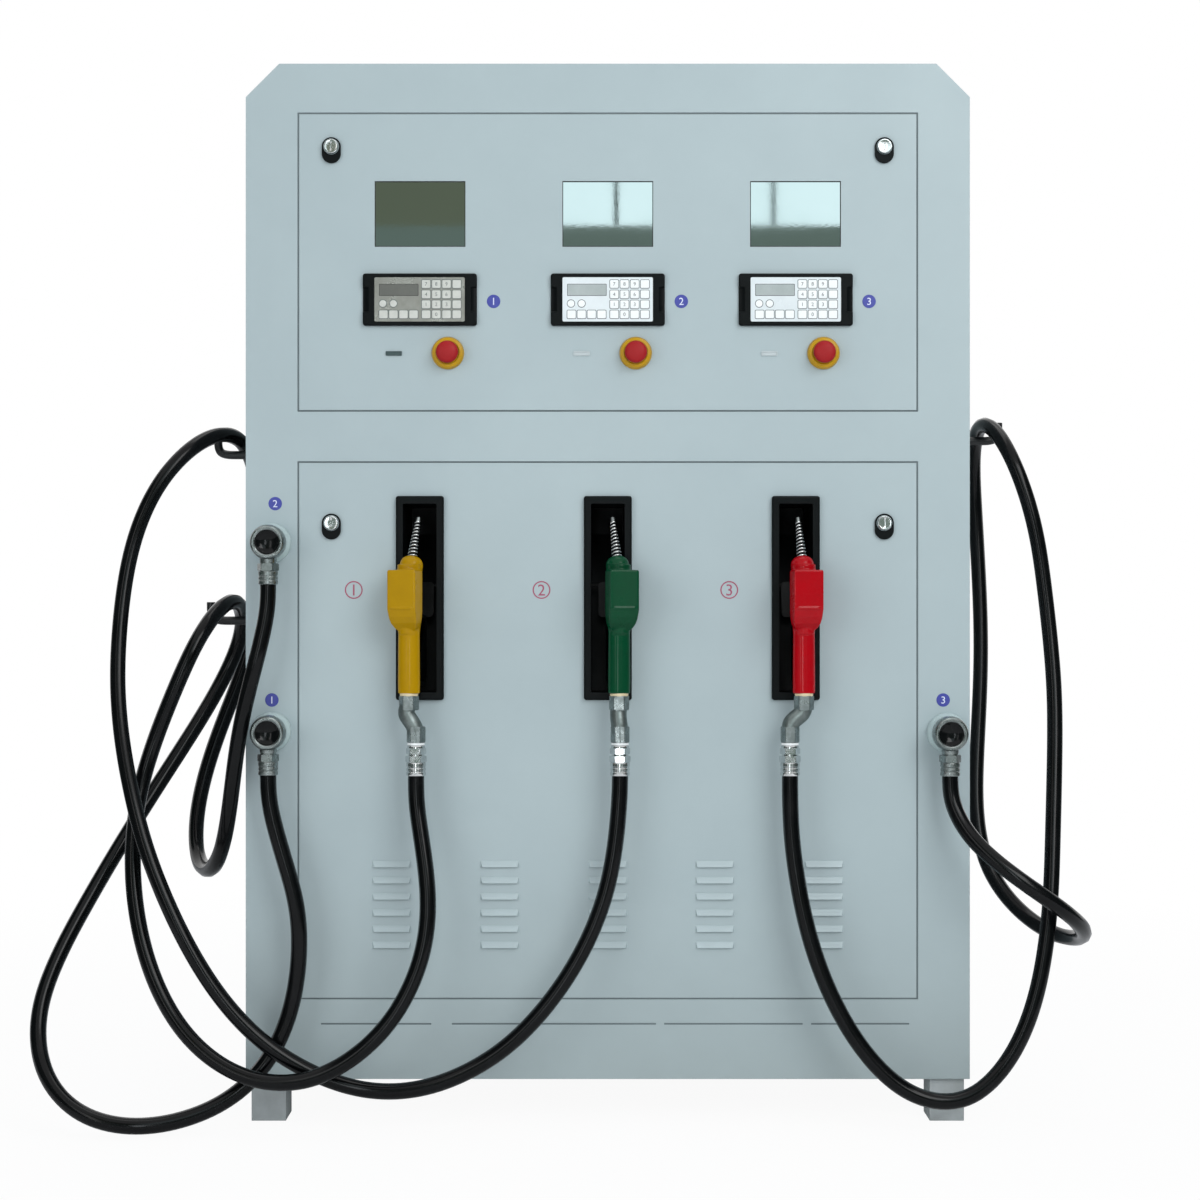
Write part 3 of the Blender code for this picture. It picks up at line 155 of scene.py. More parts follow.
@dataclass(frozen=True)
class Finish:
    """One real surface finish: colours, gloss, relief, wear, and how much it darkens towards the bottom."""

    name: str
    colour: str
    worn_colour: str
    texture: Texture
    roughness: float
    patch_mm: float
    slot: str
    metallic: float = 0.0
    patch_mix: float = 0.35
    gloss_spread: float = 0.08
    coat: float = 0.0
    coat_roughness: float = 0.1
    specular: float = 0.5
    dust: float = 0.0

    def material(self) -> bpy.types.Material:
        """Returns this finish's material, made once."""
        found = bpy.data.materials.get(self.name)
        return found if found else self._make()

    def _make(self) -> bpy.types.Material:
        """Builds the material's nodes.

        Returns:
            The new material.
        """
        made = bpy.data.materials.new(self.name)
        made.use_nodes = True
        tree = made.node_tree
        shader = tree.nodes["Principled BSDF"]
        grain_mm, strength, depth_mm = RELIEF[self.texture]
        place = add_node(tree, "ShaderNodeTexCoord").outputs["Object"]
        stretch = DRAWN_STRETCH if self.texture is Texture.DRAWN else (1.0, 1.0, 1.0)
        grain_place = add_node(tree, "ShaderNodeMapping", {"Scale": stretch}, {"Vector": place})
        patches = add_node(tree, "ShaderNodeTexNoise",
                           {"Scale": 1 / (self.patch_mm * MM), "Detail": 5.0, "Roughness": 0.62},
                           {"Vector": place})
        spread = add_node(tree, "ShaderNodeMapRange", {1: WEAR_NOISE[0], 2: WEAR_NOISE[1], 3: 0.0, 4: self.patch_mix},
                          {0: patches.outputs["Fac"]})
        mix = add_node(tree, "ShaderNodeMix", {"data_type": "RGBA", 6: linear(self.colour),
                                               7: linear(self.worn_colour)}, {0: spread.outputs[0]})
        colour = mix.outputs[2]
        # Darkens the colour towards the bottom, broken up by the patch noise.
        if self.dust:
            height = add_node(tree, "ShaderNodeSeparateXYZ", links={0: place})
            low = add_node(tree, "ShaderNodeMapRange",
                           {1: LOW_DARKENING_HEIGHTS[0], 2: LOW_DARKENING_HEIGHTS[1], 3: 0.0, 4: self.dust}, {0: height.outputs["Z"]})
            broken = add_node(tree, "ShaderNodeMath", {"operation": "MULTIPLY"},
                              {0: low.outputs[0], 1: patches.outputs["Fac"]})
            darkened = add_node(tree, "ShaderNodeMix", {"data_type": "RGBA", 7: linear(LOW_DARKENING_COLOUR)},
                             {0: broken.outputs[0], 6: colour})
            colour = darkened.outputs[2]
        tree.links.new(colour, shader.inputs["Base Color"])
        grain = add_node(tree, "ShaderNodeTexNoise",
                         {"Scale": 1 / (grain_mm * MM), "Detail": 3.0, "Roughness": 0.55},
                         {"Vector": grain_place.outputs[0]})
        gloss = add_node(tree, "ShaderNodeMapRange",
                         {1: GLOSS_NOISE[0], 2: GLOSS_NOISE[1], 3: max(0.02, self.roughness - self.gloss_spread),
                          4: self.roughness + self.gloss_spread}, {0: patches.outputs["Fac"]})
        tree.links.new(gloss.outputs[0], shader.inputs["Roughness"])
        bump = add_node(tree, "ShaderNodeBump", {"Strength": strength, "Distance": depth_mm * MM},
                        {"Height": grain.outputs["Fac"]})
        tree.links.new(bump.outputs[0], shader.inputs["Normal"])
        for socket, value in (("Metallic", self.metallic), ("Specular IOR Level", self.specular),
                              ("Coat Weight", self.coat), ("Coat Roughness", self.coat_roughness)):
            shader.inputs[socket].default_value = value
        return made


# Baked polyester powder coat, pale grey-blue: satin, with a faint orange peel, darker towards the bottom.
POWDER_COAT = Finish("powder_coated_sheet_steel", "#A6B6B9", "#9BABAF", Texture.SPRAYED, 0.42, 420.0, "cabinet_paint",
                     patch_mix=0.5, gloss_spread=0.05, specular=0.45, dust=0.35)
# The same coat on the pressed louvres, painted a little lighter than the sheet: a painted highlight for the light that
# falls on their raised hoods.
LIT_LOUVRE_COAT = Finish("louvre_coat_with_painted_highlight", "#ADBDC0", "#9FAFB2", Texture.SPRAYED, 0.40, 90.0, "cabinet_paint")
# Pale coat on the cast outlet cups, a little whiter than the sheet.
CUP_COAT = Finish("coated_outlet_cup", "#B9CBCB", "#A6B9BA", Texture.CAST, 0.45, 40.0, "cabinet_paint")
# Hot-dip galvanised steel: dull grey with patchy spangle.
GALVANISED = Finish("galvanised_steel", "#9A9FA3", "#7E858A", Texture.DRAWN, 0.48, 30.0, "galvanised_steel",
                    metallic=0.85, patch_mix=0.6, gloss_spread=0.1)
# Nickel-chrome plate on turned and pressed fittings: bright, with dull patches from handling.
CHROME = Finish("chrome_plated_steel", "#D8DADA", "#A7AAAA", Texture.PLATED, 0.16, 14.0, "chrome", metallic=1.0,
                patch_mix=0.5, gloss_spread=0.07)
# Satin nickel on cast unions: greyer and rougher than the turned parts.
NICKEL = Finish("satin_nickel_casting", "#979E9D", "#666D6D", Texture.CAST, 0.30, 12.0, "chrome", metallic=1.0,
                patch_mix=0.7)
# Die-cast zinc swivels, dull grey where oxidised.
ZINC = Finish("die_cast_zinc", "#7C8584", "#59615F", Texture.CAST, 0.40, 16.0, "machined_steel", metallic=0.9,
              patch_mix=0.7, gloss_spread=0.10)
# Turned carbon steel for pins and hidden shafts.
TURNED_STEEL = Finish("turned_steel", "#9DA0A2", "#7B7E80", Texture.DRAWN, 0.32, 20.0, "machined_steel", metallic=1.0,
                      patch_mix=0.4)
# Black ABS mouldings: deep black, the fine tool grain keeps only a faint sheen.
BLACK_ABS = Finish("black_abs_moulding", "#070B0C", "#0D1214", Texture.MOULDED, 0.40, 60.0, "black_plastic",
                   specular=0.10)
# Matt black of gaskets, borders and boot flaps.
DARK_RUBBER = Finish("dark_rubber", "#0B0C0D", "#17181A", Texture.MOULDED, 0.62, 25.0, "black_plastic")
# Grey foam seal in the joints round door and panel.
SEAL_GREY = Finish("grey_foam_seal", "#6E7A7D", "#5F6A6D", Texture.MOULDED, 0.70, 40.0, "cabinet_paint", specular=0.2)
# Extruded nitrile hose cover: smooth gloss black, wiped by use.
HOSE_RUBBER = Finish("nitrile_hose_cover", "#050607", "#0C0D0F", Texture.DRAWN, 0.17, 55.0, "hose_rubber",
                     patch_mix=0.6, gloss_spread=0.04, specular=0.20)
# Plastisol-dipped nozzle covers: deep colour, soft edged, with a few scuffs.
YELLOW_VINYL = Finish("yellow_vinyl_cover", "#AC8500", "#987300", Texture.DIPPED, 0.34, 38.0, "nozzle_yellow",
                      coat=0.22, coat_roughness=0.09, specular=0.05)
GREEN_VINYL = Finish("green_vinyl_cover", "#034328", "#023821", Texture.DIPPED, 0.32, 38.0, "nozzle_green", coat=0.25,
                     coat_roughness=0.08, specular=0.05)
RED_VINYL = Finish("red_vinyl_cover", "#A80312", "#90030E", Texture.DIPPED, 0.28, 38.0, "nozzle_red", coat=0.28,
                   coat_roughness=0.08, specular=0.05)
# Injection-moulded plastics of the stop buttons.
BUTTON_YELLOW = Finish("yellow_button_collar", "#C09400", "#B08600", Texture.MOULDED, 0.36, 18.0, "stop_yellow",
                       specular=0.25)
BUTTON_RED = Finish("red_button_cap", "#9E181C", "#8E1418", Texture.MOULDED, 0.50, 18.0, "stop_red", specular=0.2)
# Printed polyester keypad membrane, white or silver, and its grey print.
WHITE_MEMBRANE = Finish("white_keypad_membrane", "#DDE6E8", "#CBD5D8", Texture.MOULDED, 0.22, 45.0, "keypad_face",
                        patch_mix=0.5)
SILVER_MEMBRANE = Finish("silver_keypad_membrane", "#94958E", "#7B7B74", Texture.DRAWN, 0.30, 35.0, "keypad_face",
                         metallic=0.55, patch_mix=0.7)
KEY_WHITE = Finish("white_key_dome", "#EEF2F2", "#D5DCDD", Texture.MOULDED, 0.30, 12.0, "keypad_face")
KEY_SILVER = Finish("silver_key_dome", "#C6C8C2", "#ABADA7", Texture.MOULDED, 0.34, 12.0, "keypad_face", metallic=0.2)
GREY_PRINT = Finish("grey_screen_print", "#56605F", "#464F50", Texture.MOULDED, 0.45, 10.0, "keypad_face")
LCD_PALE = Finish("lcd_strip", "#AEB8B7", "#8D9897", Texture.PLATED, 0.14, 30.0, "display_glass", coat=0.3,
                  specular=0.2)
LCD_DARK = Finish("dark_lcd_strip", "#6A6C67", "#585A56", Texture.PLATED, 0.14, 30.0, "display_glass", coat=0.2,
                  specular=0.1)
BLUE_PRINT = Finish("blue_vinyl_disc", "#3A429B", "#31378A", Texture.MOULDED, 0.35, 12.0, "keypad_face")
WHITE_PRINT = Finish("white_vinyl_figure", "#DCE2F2", "#C9D0E6", Texture.MOULDED, 0.35, 12.0, "keypad_face")
RED_PRINT = Finish("red_vinyl_figure", "#A04A64", "#923E58", Texture.MOULDED, 0.38, 12.0, "keypad_face")
# Cream nylon washer between grip and swivel.
CREAM_NYLON = Finish("cream_nylon_washer", "#D8C9A4", "#BFAE86", Texture.MOULDED, 0.40, 12.0, "keypad_face")
# Enamelled grey iron of pumps and meters.
PUMP_ENAMEL = Finish("enamelled_pump_casting", "#3E5666", "#31454F", Texture.CAST, 0.45, 60.0, "cast_iron")
METER_ALLOY = Finish("cast_aluminium_meter", "#9A9C9B", "#7E807F", Texture.CAST, 0.45, 40.0, "machined_steel",
                     metallic=0.9, patch_mix=0.5)
# Dark and pale plastic of the slot plugs in the door.
PLUG_DARK = Finish("dark_plug_moulding", "#4A5B5C", "#3E4D4E", Texture.MOULDED, 0.45, 20.0, "keypad_face",
                   specular=0.2)
PLUG_GREY = Finish("pale_plug_moulding", "#BCC6C8", "#A3AEB0", Texture.MOULDED, 0.40, 20.0, "keypad_face")
# Tinted mirror acrylic over the displays: flat and mirror smooth, it shows what stands across from it.
DISPLAY_ACRYLIC = Finish("tinted_display_acrylic", "#B9C2C2", "#B0BABA", Texture.PLATED, 0.03, 220.0, "display_glass",
                         metallic=1.0, patch_mix=0.4, gloss_spread=0.01)
# Gloss black moulded bowl in each outlet's middle.
BLACK_GLOSS = Finish("gloss_black_moulding", "#07090A", "#0E1011", Texture.PLATED, 0.14, 30.0, "black_plastic",
                     specular=0.2)
# Black plastisol on the hangers' bars, dulled by the hoses.
HANGER_COAT = Finish("black_coated_bar", "#101213", "#22262A", Texture.DIPPED, 0.42, 22.0, "black_plastic")
# Grey-white primer on legs and tray.
LEG_COAT = Finish("zinc_primed_legs", "#B4BCBE", "#8E9699", Texture.SPRAYED, 0.50, 60.0, "galvanised_steel",
                  patch_mix=0.6, dust=0.4)
# Pale coat of the electronics case.
CASE_COAT = Finish("coated_electronics_case", "#B9BDB8", "#A6AAA5", Texture.SPRAYED, 0.48, 80.0, "galvanised_steel")


# ---------------------------------------------------------------- modelling tools


def select_none() -> None:
    """Leaves object mode on and nothing selected."""
    if bpy.context.object and bpy.context.object.mode != "OBJECT":
        bpy.ops.object.mode_set(mode="OBJECT")
    bpy.ops.object.select_all(action="DESELECT")


def work_on(piece: Piece) -> Piece:
    """Makes one object the only selected and active one, and returns it."""
    select_none()
    piece.select_set(True)
    bpy.context.view_layer.objects.active = piece
    return piece


def settle(piece: Piece) -> Piece:
    """Puts an object's place, turn and size into its mesh, and returns it."""
    work_on(piece)
    bpy.ops.object.transform_apply(location=True, rotation=True, scale=True)
    return piece


def block(name: str, low: Point, high: Point) -> Piece:
    """Adds a block between two corners, as a start for shaping.

    Args:
        name: The object's name.
        low: Its lowest corner.
        high: Its highest corner.

    Returns:
        The block.
    """
    select_none()
    low, high = Vector(low), Vector(high)
    bpy.ops.mesh.primitive_cube_add(size=1.0, location=(low + high) / 2)
    made = bpy.context.object
    made.name = name
    made.scale = high - low
    return settle(made)


def pick(piece: Piece, kind: str, test: Test) -> None:
    """Selects faces by centre and normal, or edges by middle and direction, in edit mode.

    Args:
        piece: The object to work on.
        kind: "FACE", "EDGE" or "VERT".
        test: Says of a centre and a direction whether the element is picked.
    """
    work_on(piece)
    bpy.ops.object.mode_set(mode="EDIT")
    bpy.context.tool_settings.mesh_select_mode = (kind == "VERT", kind == "EDGE", kind == "FACE")
    bpy.ops.mesh.select_all(action="DESELECT")
    mesh = bmesh.from_edit_mesh(piece.data)
    mesh.normal_update()
    if kind == "FACE":
        for face in mesh.faces:
            face.select_set(test(face.calc_center_median(), face.normal))
    elif kind == "EDGE":
        for edge in mesh.edges:
            ends = [corner.co for corner in edge.verts]
            edge.select_set(test((ends[0] + ends[1]) / 2, (ends[1] - ends[0]).normalized()))
    else:
        for corner in mesh.verts:
            corner.select_set(test(corner.co, corner.normal))
    mesh.select_flush_mode()
    bmesh.update_edit_mesh(piece.data)


def done(piece: Piece) -> Piece:
    """Leaves edit mode, and returns the object."""
    bpy.ops.object.mode_set(mode="OBJECT")
    return piece


def along(axis: str, share: float = 0.9) -> Test:
    """Makes the test of an edge that runs along an axis."""
    return lambda middle, way: abs(getattr(way, axis)) > share


def faces_front(centre: Vector, normal: Vector) -> bool:
    """Says whether a face looks to the front."""
    return normal.y < -0.9


def faces_down(centre: Vector, normal: Vector) -> bool:
    """Says whether a face looks down."""
    return normal.z < -0.9


def anything(centre: Vector, normal: Vector) -> bool:
    """Says yes to every element."""
    return True


def shift(piece: Piece, test: Test, by: Point) -> Piece:
    """Moves the corners that a test picks.

    Args:
        piece: The object.
        test: Picks corners by place and normal.
        by: The move.

    Returns:
        The object.
    """
    pick(piece, "VERT", test)
    bpy.ops.transform.translate(value=by)
    return done(piece)


def draw_out(piece: Piece, test: Test, by: Point, inset: float = 0.0) -> Piece:
    """Draws out, or sinks, the faces that a test picks.

    Args:
        piece: The object.
        test: Picks faces by centre and normal.
        by: How far they go.
        inset: The rim that stays round them.

    Returns:
        The object.
    """
    pick(piece, "FACE", test)
    if inset:
        bpy.ops.mesh.inset(thickness=inset)
    bpy.ops.mesh.extrude_region_move(TRANSFORM_OT_translate={"value": by})
    return done(piece)


def weld(piece: Piece) -> None:
    """Merges an object's doubled corners, and leaves all of it selected in edit mode."""
    work_on(piece)
    bpy.ops.object.mode_set(mode="EDIT")
    bpy.ops.mesh.select_all(action="SELECT")
    bpy.ops.mesh.remove_doubles(threshold=SAME_PLACE)


def middle_of(node: str) -> tuple[float, ...]:
    """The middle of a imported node's box."""
    return tuple((low + high) / 2 for low, high in zip(*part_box(node)))


def up(height: float) -> Vector:
    """The move straight up by a height."""
    return Vector((0, 0, height))


def round_edges(piece: Piece, width: float, segments: int,
                test: Test) -> Piece:
    """Rounds the edges that a test picks.

    Args:
        piece: The object.
        width: The bevel's offset.
        segments: Its segments.
        test: Picks edges by middle and direction.

    Returns:
        The object.
    """
    pick(piece, "EDGE", test)
    bpy.ops.mesh.bevel(offset=width, segments=segments, affect="EDGES", clamp_overlap=True)
    return done(piece)


def apply_modifier(piece: Piece, kind: str, **settings: object) -> Piece:
    """Adds a modifier with its settings and applies it.

    Args:
        piece: The object.
        kind: The modifier's type.
        settings: Its properties.

    Returns:
        The object.
    """
    work_on(piece)
    step = piece.modifiers.new(kind.lower(), kind)
    for key, value in settings.items():
        setattr(step, key, value)
    bpy.ops.object.modifier_apply(modifier=step.name)
    return piece


def ease(piece: Piece, width: float, segments: int = 2, angle: float = 40.0) -> Piece:
    """Breaks every sharp edge of a piece by a small round.

    Args:
        piece: The object.
        width: The round's width.
        segments: Its segments.
        angle: The smallest angle, in degrees, that counts as sharp.

    Returns:
        The object.
    """
    return apply_modifier(piece, "BEVEL", width=width, segments=segments, limit_method="ANGLE",
                          angle_limit=math.radians(angle), use_clamp_overlap=True, miter_outer="MITER_ARC")


def combine(piece: Piece, other: Piece, operation: str = "DIFFERENCE") -> Piece:
    """Cuts, adds or intersects a helper object and removes it.

    Args:
        piece: The object that stays.
        other: The helper.
        operation: The Boolean's operation.

    Returns:
        The object that stays.
    """
    apply_modifier(piece, "BOOLEAN", object=other, operation=operation, solver="EXACT")
    bpy.data.objects.remove(other)
    return piece


def merge(pieces: Sequence[Piece], name: str) -> Piece:
    """Joins objects into the first one.

    Args:
        pieces: The objects.
        name: The joined object's name.

    Returns:
        The joined object.
    """
    work_on(pieces[0])
    for other in pieces[1:]:
        other.select_set(True)
    bpy.ops.object.join()
    pieces[0].name = name
    return pieces[0]


def lathe(name: str, profile: Sequence[tuple[float, float]], place: Point = (0, 0, 0), axis: str = "-Y",
          sides: int = 40) -> Piece:
    """Turns a solid: a disc pulled up step by step along a profile.

    Args:
        name: The object's name.
        profile: (radius, height) pairs from the foot to the top.
        place: Where the profile's zero lies.
        axis: The way the profile's height runs: -Y, -Z or +Z.
        sides: How many sides the disc has.

    Returns:
        The turned object.
    """
    select_none()
    (first_radius, first), (radius, height) = profile[:2]
    bpy.ops.mesh.primitive_cone_add(vertices=sides, radius1=first_radius, radius2=radius, depth=abs(height - first),
                                    location=(0, 0, (first + height) / 2))
    made = bpy.context.object
    made.name = name
    settle(made)
    pick(made, "FACE", lambda centre, normal: abs(centre.z - height) < 1e-7 and abs(normal.z) > 0.99)
    for next_radius, next_height in profile[2:]:
        bpy.ops.mesh.extrude_region_move(TRANSFORM_OT_translate={"value": (0, 0, next_height - height)})
        grow = next_radius / radius
        bpy.ops.transform.resize(value=(grow, grow, 1.0), center_override=(0, 0, next_height))
        radius, height = next_radius, next_height
    bpy.ops.mesh.select_all(action="SELECT")
    bpy.ops.mesh.normals_make_consistent(inside=False)
    done(made)
    turns = {"-Y": (math.pi / 2, 0, 0), "-Z": (math.pi, 0, 0), "+Z": (0, 0, 0)}
    made.rotation_euler = turns[axis]
    made.location = place
    return settle(made)


def pipe(name: str, points: Sequence[Point], radius: float, sides: int = 12,
         sizes: Optional[Sequence[float]] = None) -> Piece:
    """Draws a round bar through points.

    Args:
        name: The object's name.
        points: The bar's middle line.
        radius: Its radius.
        sides: Its sides, a multiple of four.
        sizes: The radius at each point as a share of radius.

    Returns:
        The bar as a mesh.
    """
    curve = bpy.data.curves.new(name, "CURVE")
    curve.dimensions = "3D"
    curve.bevel_depth = radius
    curve.bevel_resolution = sides // 4 - 1
    curve.use_fill_caps = True
    spline = curve.splines.new("POLY")
    spline.points.add(len(points) - 1)
    for index, place in enumerate(points):
        spline.points[index].co = (*place, 1.0)
        spline.points[index].radius = sizes[index] if sizes else 1.0
    made = bpy.data.objects.new(name, curve)
    bpy.context.scene.collection.objects.link(made)
    work_on(made)
    bpy.ops.object.convert(target="MESH")
    made = bpy.context.object
    weld(made)
    bpy.ops.mesh.normals_make_consistent(inside=False)
    return done(made)


def eased_line(route: Sequence[Point], steps: int = 12) -> list[Vector]:
    """Draws a smooth curve that follows a route's points and starts and ends on its end ones.

    Args:
        route: The route's points.
        steps: Points for each span.

    Returns:
        The curve's points.
    """
    first = [2 * a - b for a, b in zip(route[0], route[1])]
    last = [2 * a - b for a, b in zip(route[-1], route[-2])]
    knots = [Vector(point) for point in (first, *route, last)]
    found = []
    for a, b, c, d in zip(knots, knots[1:], knots[2:], knots[3:]):
        for step in range(steps):
            t = step / steps
            found.append(((1 - t) ** 3 * a + (3 * t**3 - 6 * t**2 + 4) * b
                          + (-3 * t**3 + 3 * t**2 + 3 * t + 1) * c + t**3 * d) / 6)
    return found + [Vector(route[-1])]


def copy_of(piece: Piece, name: str, matrix: Matrix) -> Piece:
    """Copies an object with its own mesh, moved by a matrix.

    Args:
        piece: The object to copy.
        name: The copy's name.
        matrix: Where the copy goes.

    Returns:
        The copy.
    """
    made = bpy.data.objects.new(name, piece.data.copy())
    bpy.context.scene.collection.objects.link(made)
    made.data.transform(matrix)
    return made


def from_frame(node: str, name: str) -> Piece:
    """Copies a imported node's mesh and merges its loose triangles into plain faces.

    Args:
        node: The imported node.
        name: The copy's name.

    Returns:
        The copy.
    """
    made = copy_of(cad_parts[node], name, Matrix.Identity(4))
    made.data.materials.clear()
    weld(made)
    bpy.ops.mesh.dissolve_limited(angle_limit=FLAT)
    return done(made)


def figure(name: str, text: str, size: float, place: Point, thick: float = 0.0003) -> Piece:
    """Makes a raised figure that faces the front, centred on a place.

    Args:
        name: The object's name.
        text: The figure.
        size: Its type size.
        place: The middle of its back.
        thick: How far it stands up.

    Returns:
        The figure as a mesh.
    """
    select_none()
    bpy.ops.object.text_add()
    made = bpy.context.object
    made.name = name
    made.data.body = text
    made.data.size = size
    made.data.extrude = thick / 2
    made.data.resolution_u = 3
    made.data.align_x = "CENTER"
    bpy.ops.object.convert(target="MESH")
    made = bpy.context.object
    corners = [corner.co for corner in made.data.vertices]
    middle = [(min(c[i] for c in corners) + max(c[i] for c in corners)) / 2 for i in (0, 1)]
    for step in (Matrix.Translation((-middle[0], -middle[1], thick / 2)), Matrix.Rotation(math.pi / 2, 4, "X"),
                 Matrix.Translation(place)):
        made.data.transform(step)
    weld(made)
    return done(made)


def dress(piece: Piece, finish: Finish, body: str = "root", angle: float = 35.0) -> Piece:
    """Gives a new piece its finish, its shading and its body.

    Args:
        piece: The object.
        finish: Its finish.
        body: The body it rides on.
        angle: Edges sharper than this, in degrees, stay sharp.

    Returns:
        The object.
    """
    work_on(piece)
    bpy.ops.object.shade_smooth_by_angle(angle=math.radians(angle))
    apply_modifier(piece, "WEIGHTED_NORMAL", mode="FACE_AREA", keep_sharp=True)
    piece.data.materials.clear()
    piece.data.materials.append(finish.material())
    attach(piece, body)
    LOG.info("%s: %d faces, %s, on %s", piece.name, len(piece.data.polygons), finish.name, body)
    return piece


def keep(node: str, finish: Finish) -> None:
    """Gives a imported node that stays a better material.

    Args:
        node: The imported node.
        finish: Its finish.
    """
    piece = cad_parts[node]
    if not piece.material_slots:
        piece.data.materials.append(None)
    for place in piece.material_slots:
        place.material = finish.material()
    LOG.info("%s kept in %s", node, finish.name)


# ---------------------------------------------------------------- cabinet


@dataclass
class Cabinet:
    """The folded sheet cabinet: front frame, sides, roof, back, legs and the tray inside."""

    edge: float = 0.0011
    seam_height: float = 0.176
    seam_gap: float = 0.0030
    outlet_hole: tuple = (0.0160, 0.0020)
    seams: tuple = ((-0.515, -0.317), (-0.280, 0.0865), (0.101, 0.350), (0.365, 0.541))
    rear_door: tuple = ((-0.53, 0.16), (0.53, 1.15))
    rear_vents: tuple = (-0.34, 0.0, 0.34)
    vent_size: tuple = (0.150, 0.009, 0.0045)
    vent_rows: tuple = (0.34, 0.37, 0.40, 0.43, 0.46, 0.49)

    def build(self) -> None:
        """Builds the cabinet's pieces."""
        self._front()
        for node in ("left_side_panel", "right_side_panel", "top_cover"):
            eased_node(node, f"{node}_sheet", self.edge, POWDER_COAT)
        self._rear()
        eased_node("base_frame", "base_frame_tray", 0.0009, LEG_COAT)
        keep("divider_shelf", GALVANISED)
        keep("upper_door_hinge_pin", TURNED_STEEL)
        keep("control_unit", CASE_COAT)

    def _front(self) -> None:
        """Builds the front frame with its eased folds and the joint lines at its foot.

        The sheet runs round two openings, so its faces are split into convex ones while it is eased.
        The holes that the outlets' cups hide are closed.
        """
        sheet = from_frame("front_frame", "front_frame_sheet")
        radius, thick = self.outlet_hole
        for number in COLUMN_NUMBERS:
            node = f"hose_outlet_{number}"
            middle = (middle_of(node)[0], FRONT + thick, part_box(node)[1].z - OUTLET_RISE)
            combine(sheet, lathe("hole_fill", [(radius, 0.0), (radius, thick)], middle, "-Y", 32), "UNION")
        pick(sheet, "FACE", anything)
        bpy.ops.mesh.dissolve_limited(angle_limit=FLAT)
        done(sheet)
        pick(sheet, "FACE", anything)
        bpy.ops.mesh.vert_connect_concave()
        done(sheet)
        low, high = self.seam_height - self.seam_gap / 2, self.seam_height + self.seam_gap / 2
        for left, right in self.seams:
            combine(sheet, block("cutter", (left, FRONT - 0.01, low), (right, FRONT + 0.0015, high)))
            dress(block("joint_seal", (left, FRONT + 0.0010, low), (right, FRONT + 0.0014, high)), SEAL_GREY)
        ease(sheet, self.edge)
        pick(sheet, "FACE", anything)
        bpy.ops.mesh.dissolve_limited(angle_limit=math.radians(0.2))
        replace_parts(dress(done(sheet), POWDER_COAT), "front_frame")
        self._seal("door_seal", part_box("upper_door"))
        self._seal("panel_seal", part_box("lower_panel"))

    def _seal(self, name: str, leaf: tuple) -> None:
        """Lays a grey seal in the joint round a door or panel.

        Args:
            name: The seal's name.
            leaf: The lowest and highest corners of what it runs round.
        """
        low, high = (Vector((corner.x, 0, corner.z)) for corner in leaf)
        rings = []
        for grow, near, far in ((0.0028, 0.0012, 0.0032), (0.0006, -0.01, 0.02)):
            out = Vector((grow, 0, grow))
            rings.append(block(name, low - out + Vector((0, FRONT + near, 0)),
                               high + out + Vector((0, FRONT + far, 0))))
        dress(combine(*rings), SEAL_GREY)

    def _rear(self) -> None:
        """Builds the rear panel with its service door's joint line and its louvres."""
        sheet = from_frame("rear_panel", "rear_panel_sheet")
        (left, low), (right, high) = self.rear_door
        line = block("cutter", (left, REAR - 0.0012, low), (right, REAR + 0.01, high))
        inner = block("inner", (left + 0.003, REAR - 0.01, low + 0.003), (right - 0.003, REAR + 0.02, high - 0.003))
        combine(sheet, combine(line, inner))
        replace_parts(dress(ease(sheet, self.edge), POWDER_COAT), "rear_panel")
        turn = Matrix.Rotation(math.pi, 4, "Z")
        louvres("rear_louvres", self.vent_size, POWDER_COAT,
                [Matrix.Translation((x, REAR, z)) @ turn for x in self.rear_vents for z in self.vent_rows])


def eased_node(node: str, name: str, edge: float, finish: Finish, body: str = "root") -> None:
    """Puts a packed sheet's copy with eased edges in its place.

    Args:
        node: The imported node.
        name: The new piece's name.
        edge: The round on its edges.
        finish: Its finish.
        body: The body it rides on.
    """
    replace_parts(dress(ease(from_frame(node, name), edge), finish, body), node)


def louvres(name: str, size: Sequence[float], finish: Finish, places: Sequence[Matrix]) -> None:
    """Sets one louvre on every place and joins them.

    Args:
        name: The piece's name.
        size: Each louvre's width, height and stand-out.
        finish: Their finish.
        places: Where they go.
    """
    hood = louvre("louvre", *size)
    hoods = [copy_of(hood, "hood", place) for place in places]
    bpy.data.objects.remove(hood)
    dress(merge(hoods, name), finish)


def louvre(name: str, wide: float, high: float, proud: float) -> Piece:
    """Makes a pressed louvre, open below, with its back on the front plane.

    Args:
        name: The object's name.
        wide: Its width.
        high: Its height.
        proud: How far its lip stands out.

    Returns:
        The louvre, its top at +high / 2.
    """
    made = block(name, (-wide / 2, -0.0004, -high / 2), (wide / 2, 0.0006, high / 2))
    draw_out(made, faces_front, (0, -proud, 0), 0.0012)
    shift(made, lambda place, normal: place.y < -proud / 2 and place.z > 0, (0, proud * 0.75, 0.0004))
    pick(made, "VERT", lambda place, normal: place.y < -proud / 2 and place.z < 0)
    bpy.ops.transform.resize(value=(0.93, 1.0, 1.0), center_override=(0, 0, 0))
    done(made)
    pick(made, "FACE", lambda centre, normal: normal.z < -0.6 and centre.y < -0.001)
    bpy.ops.mesh.inset(thickness=0.0009)
    bpy.ops.mesh.extrude_region_move(TRANSFORM_OT_translate={"value": (0, 0, high * 0.55)})
    bpy.ops.transform.resize(value=(0.97, 0.25, 1.0))
    done(made)
    return ease(made, 0.0006, 2, 25.0)


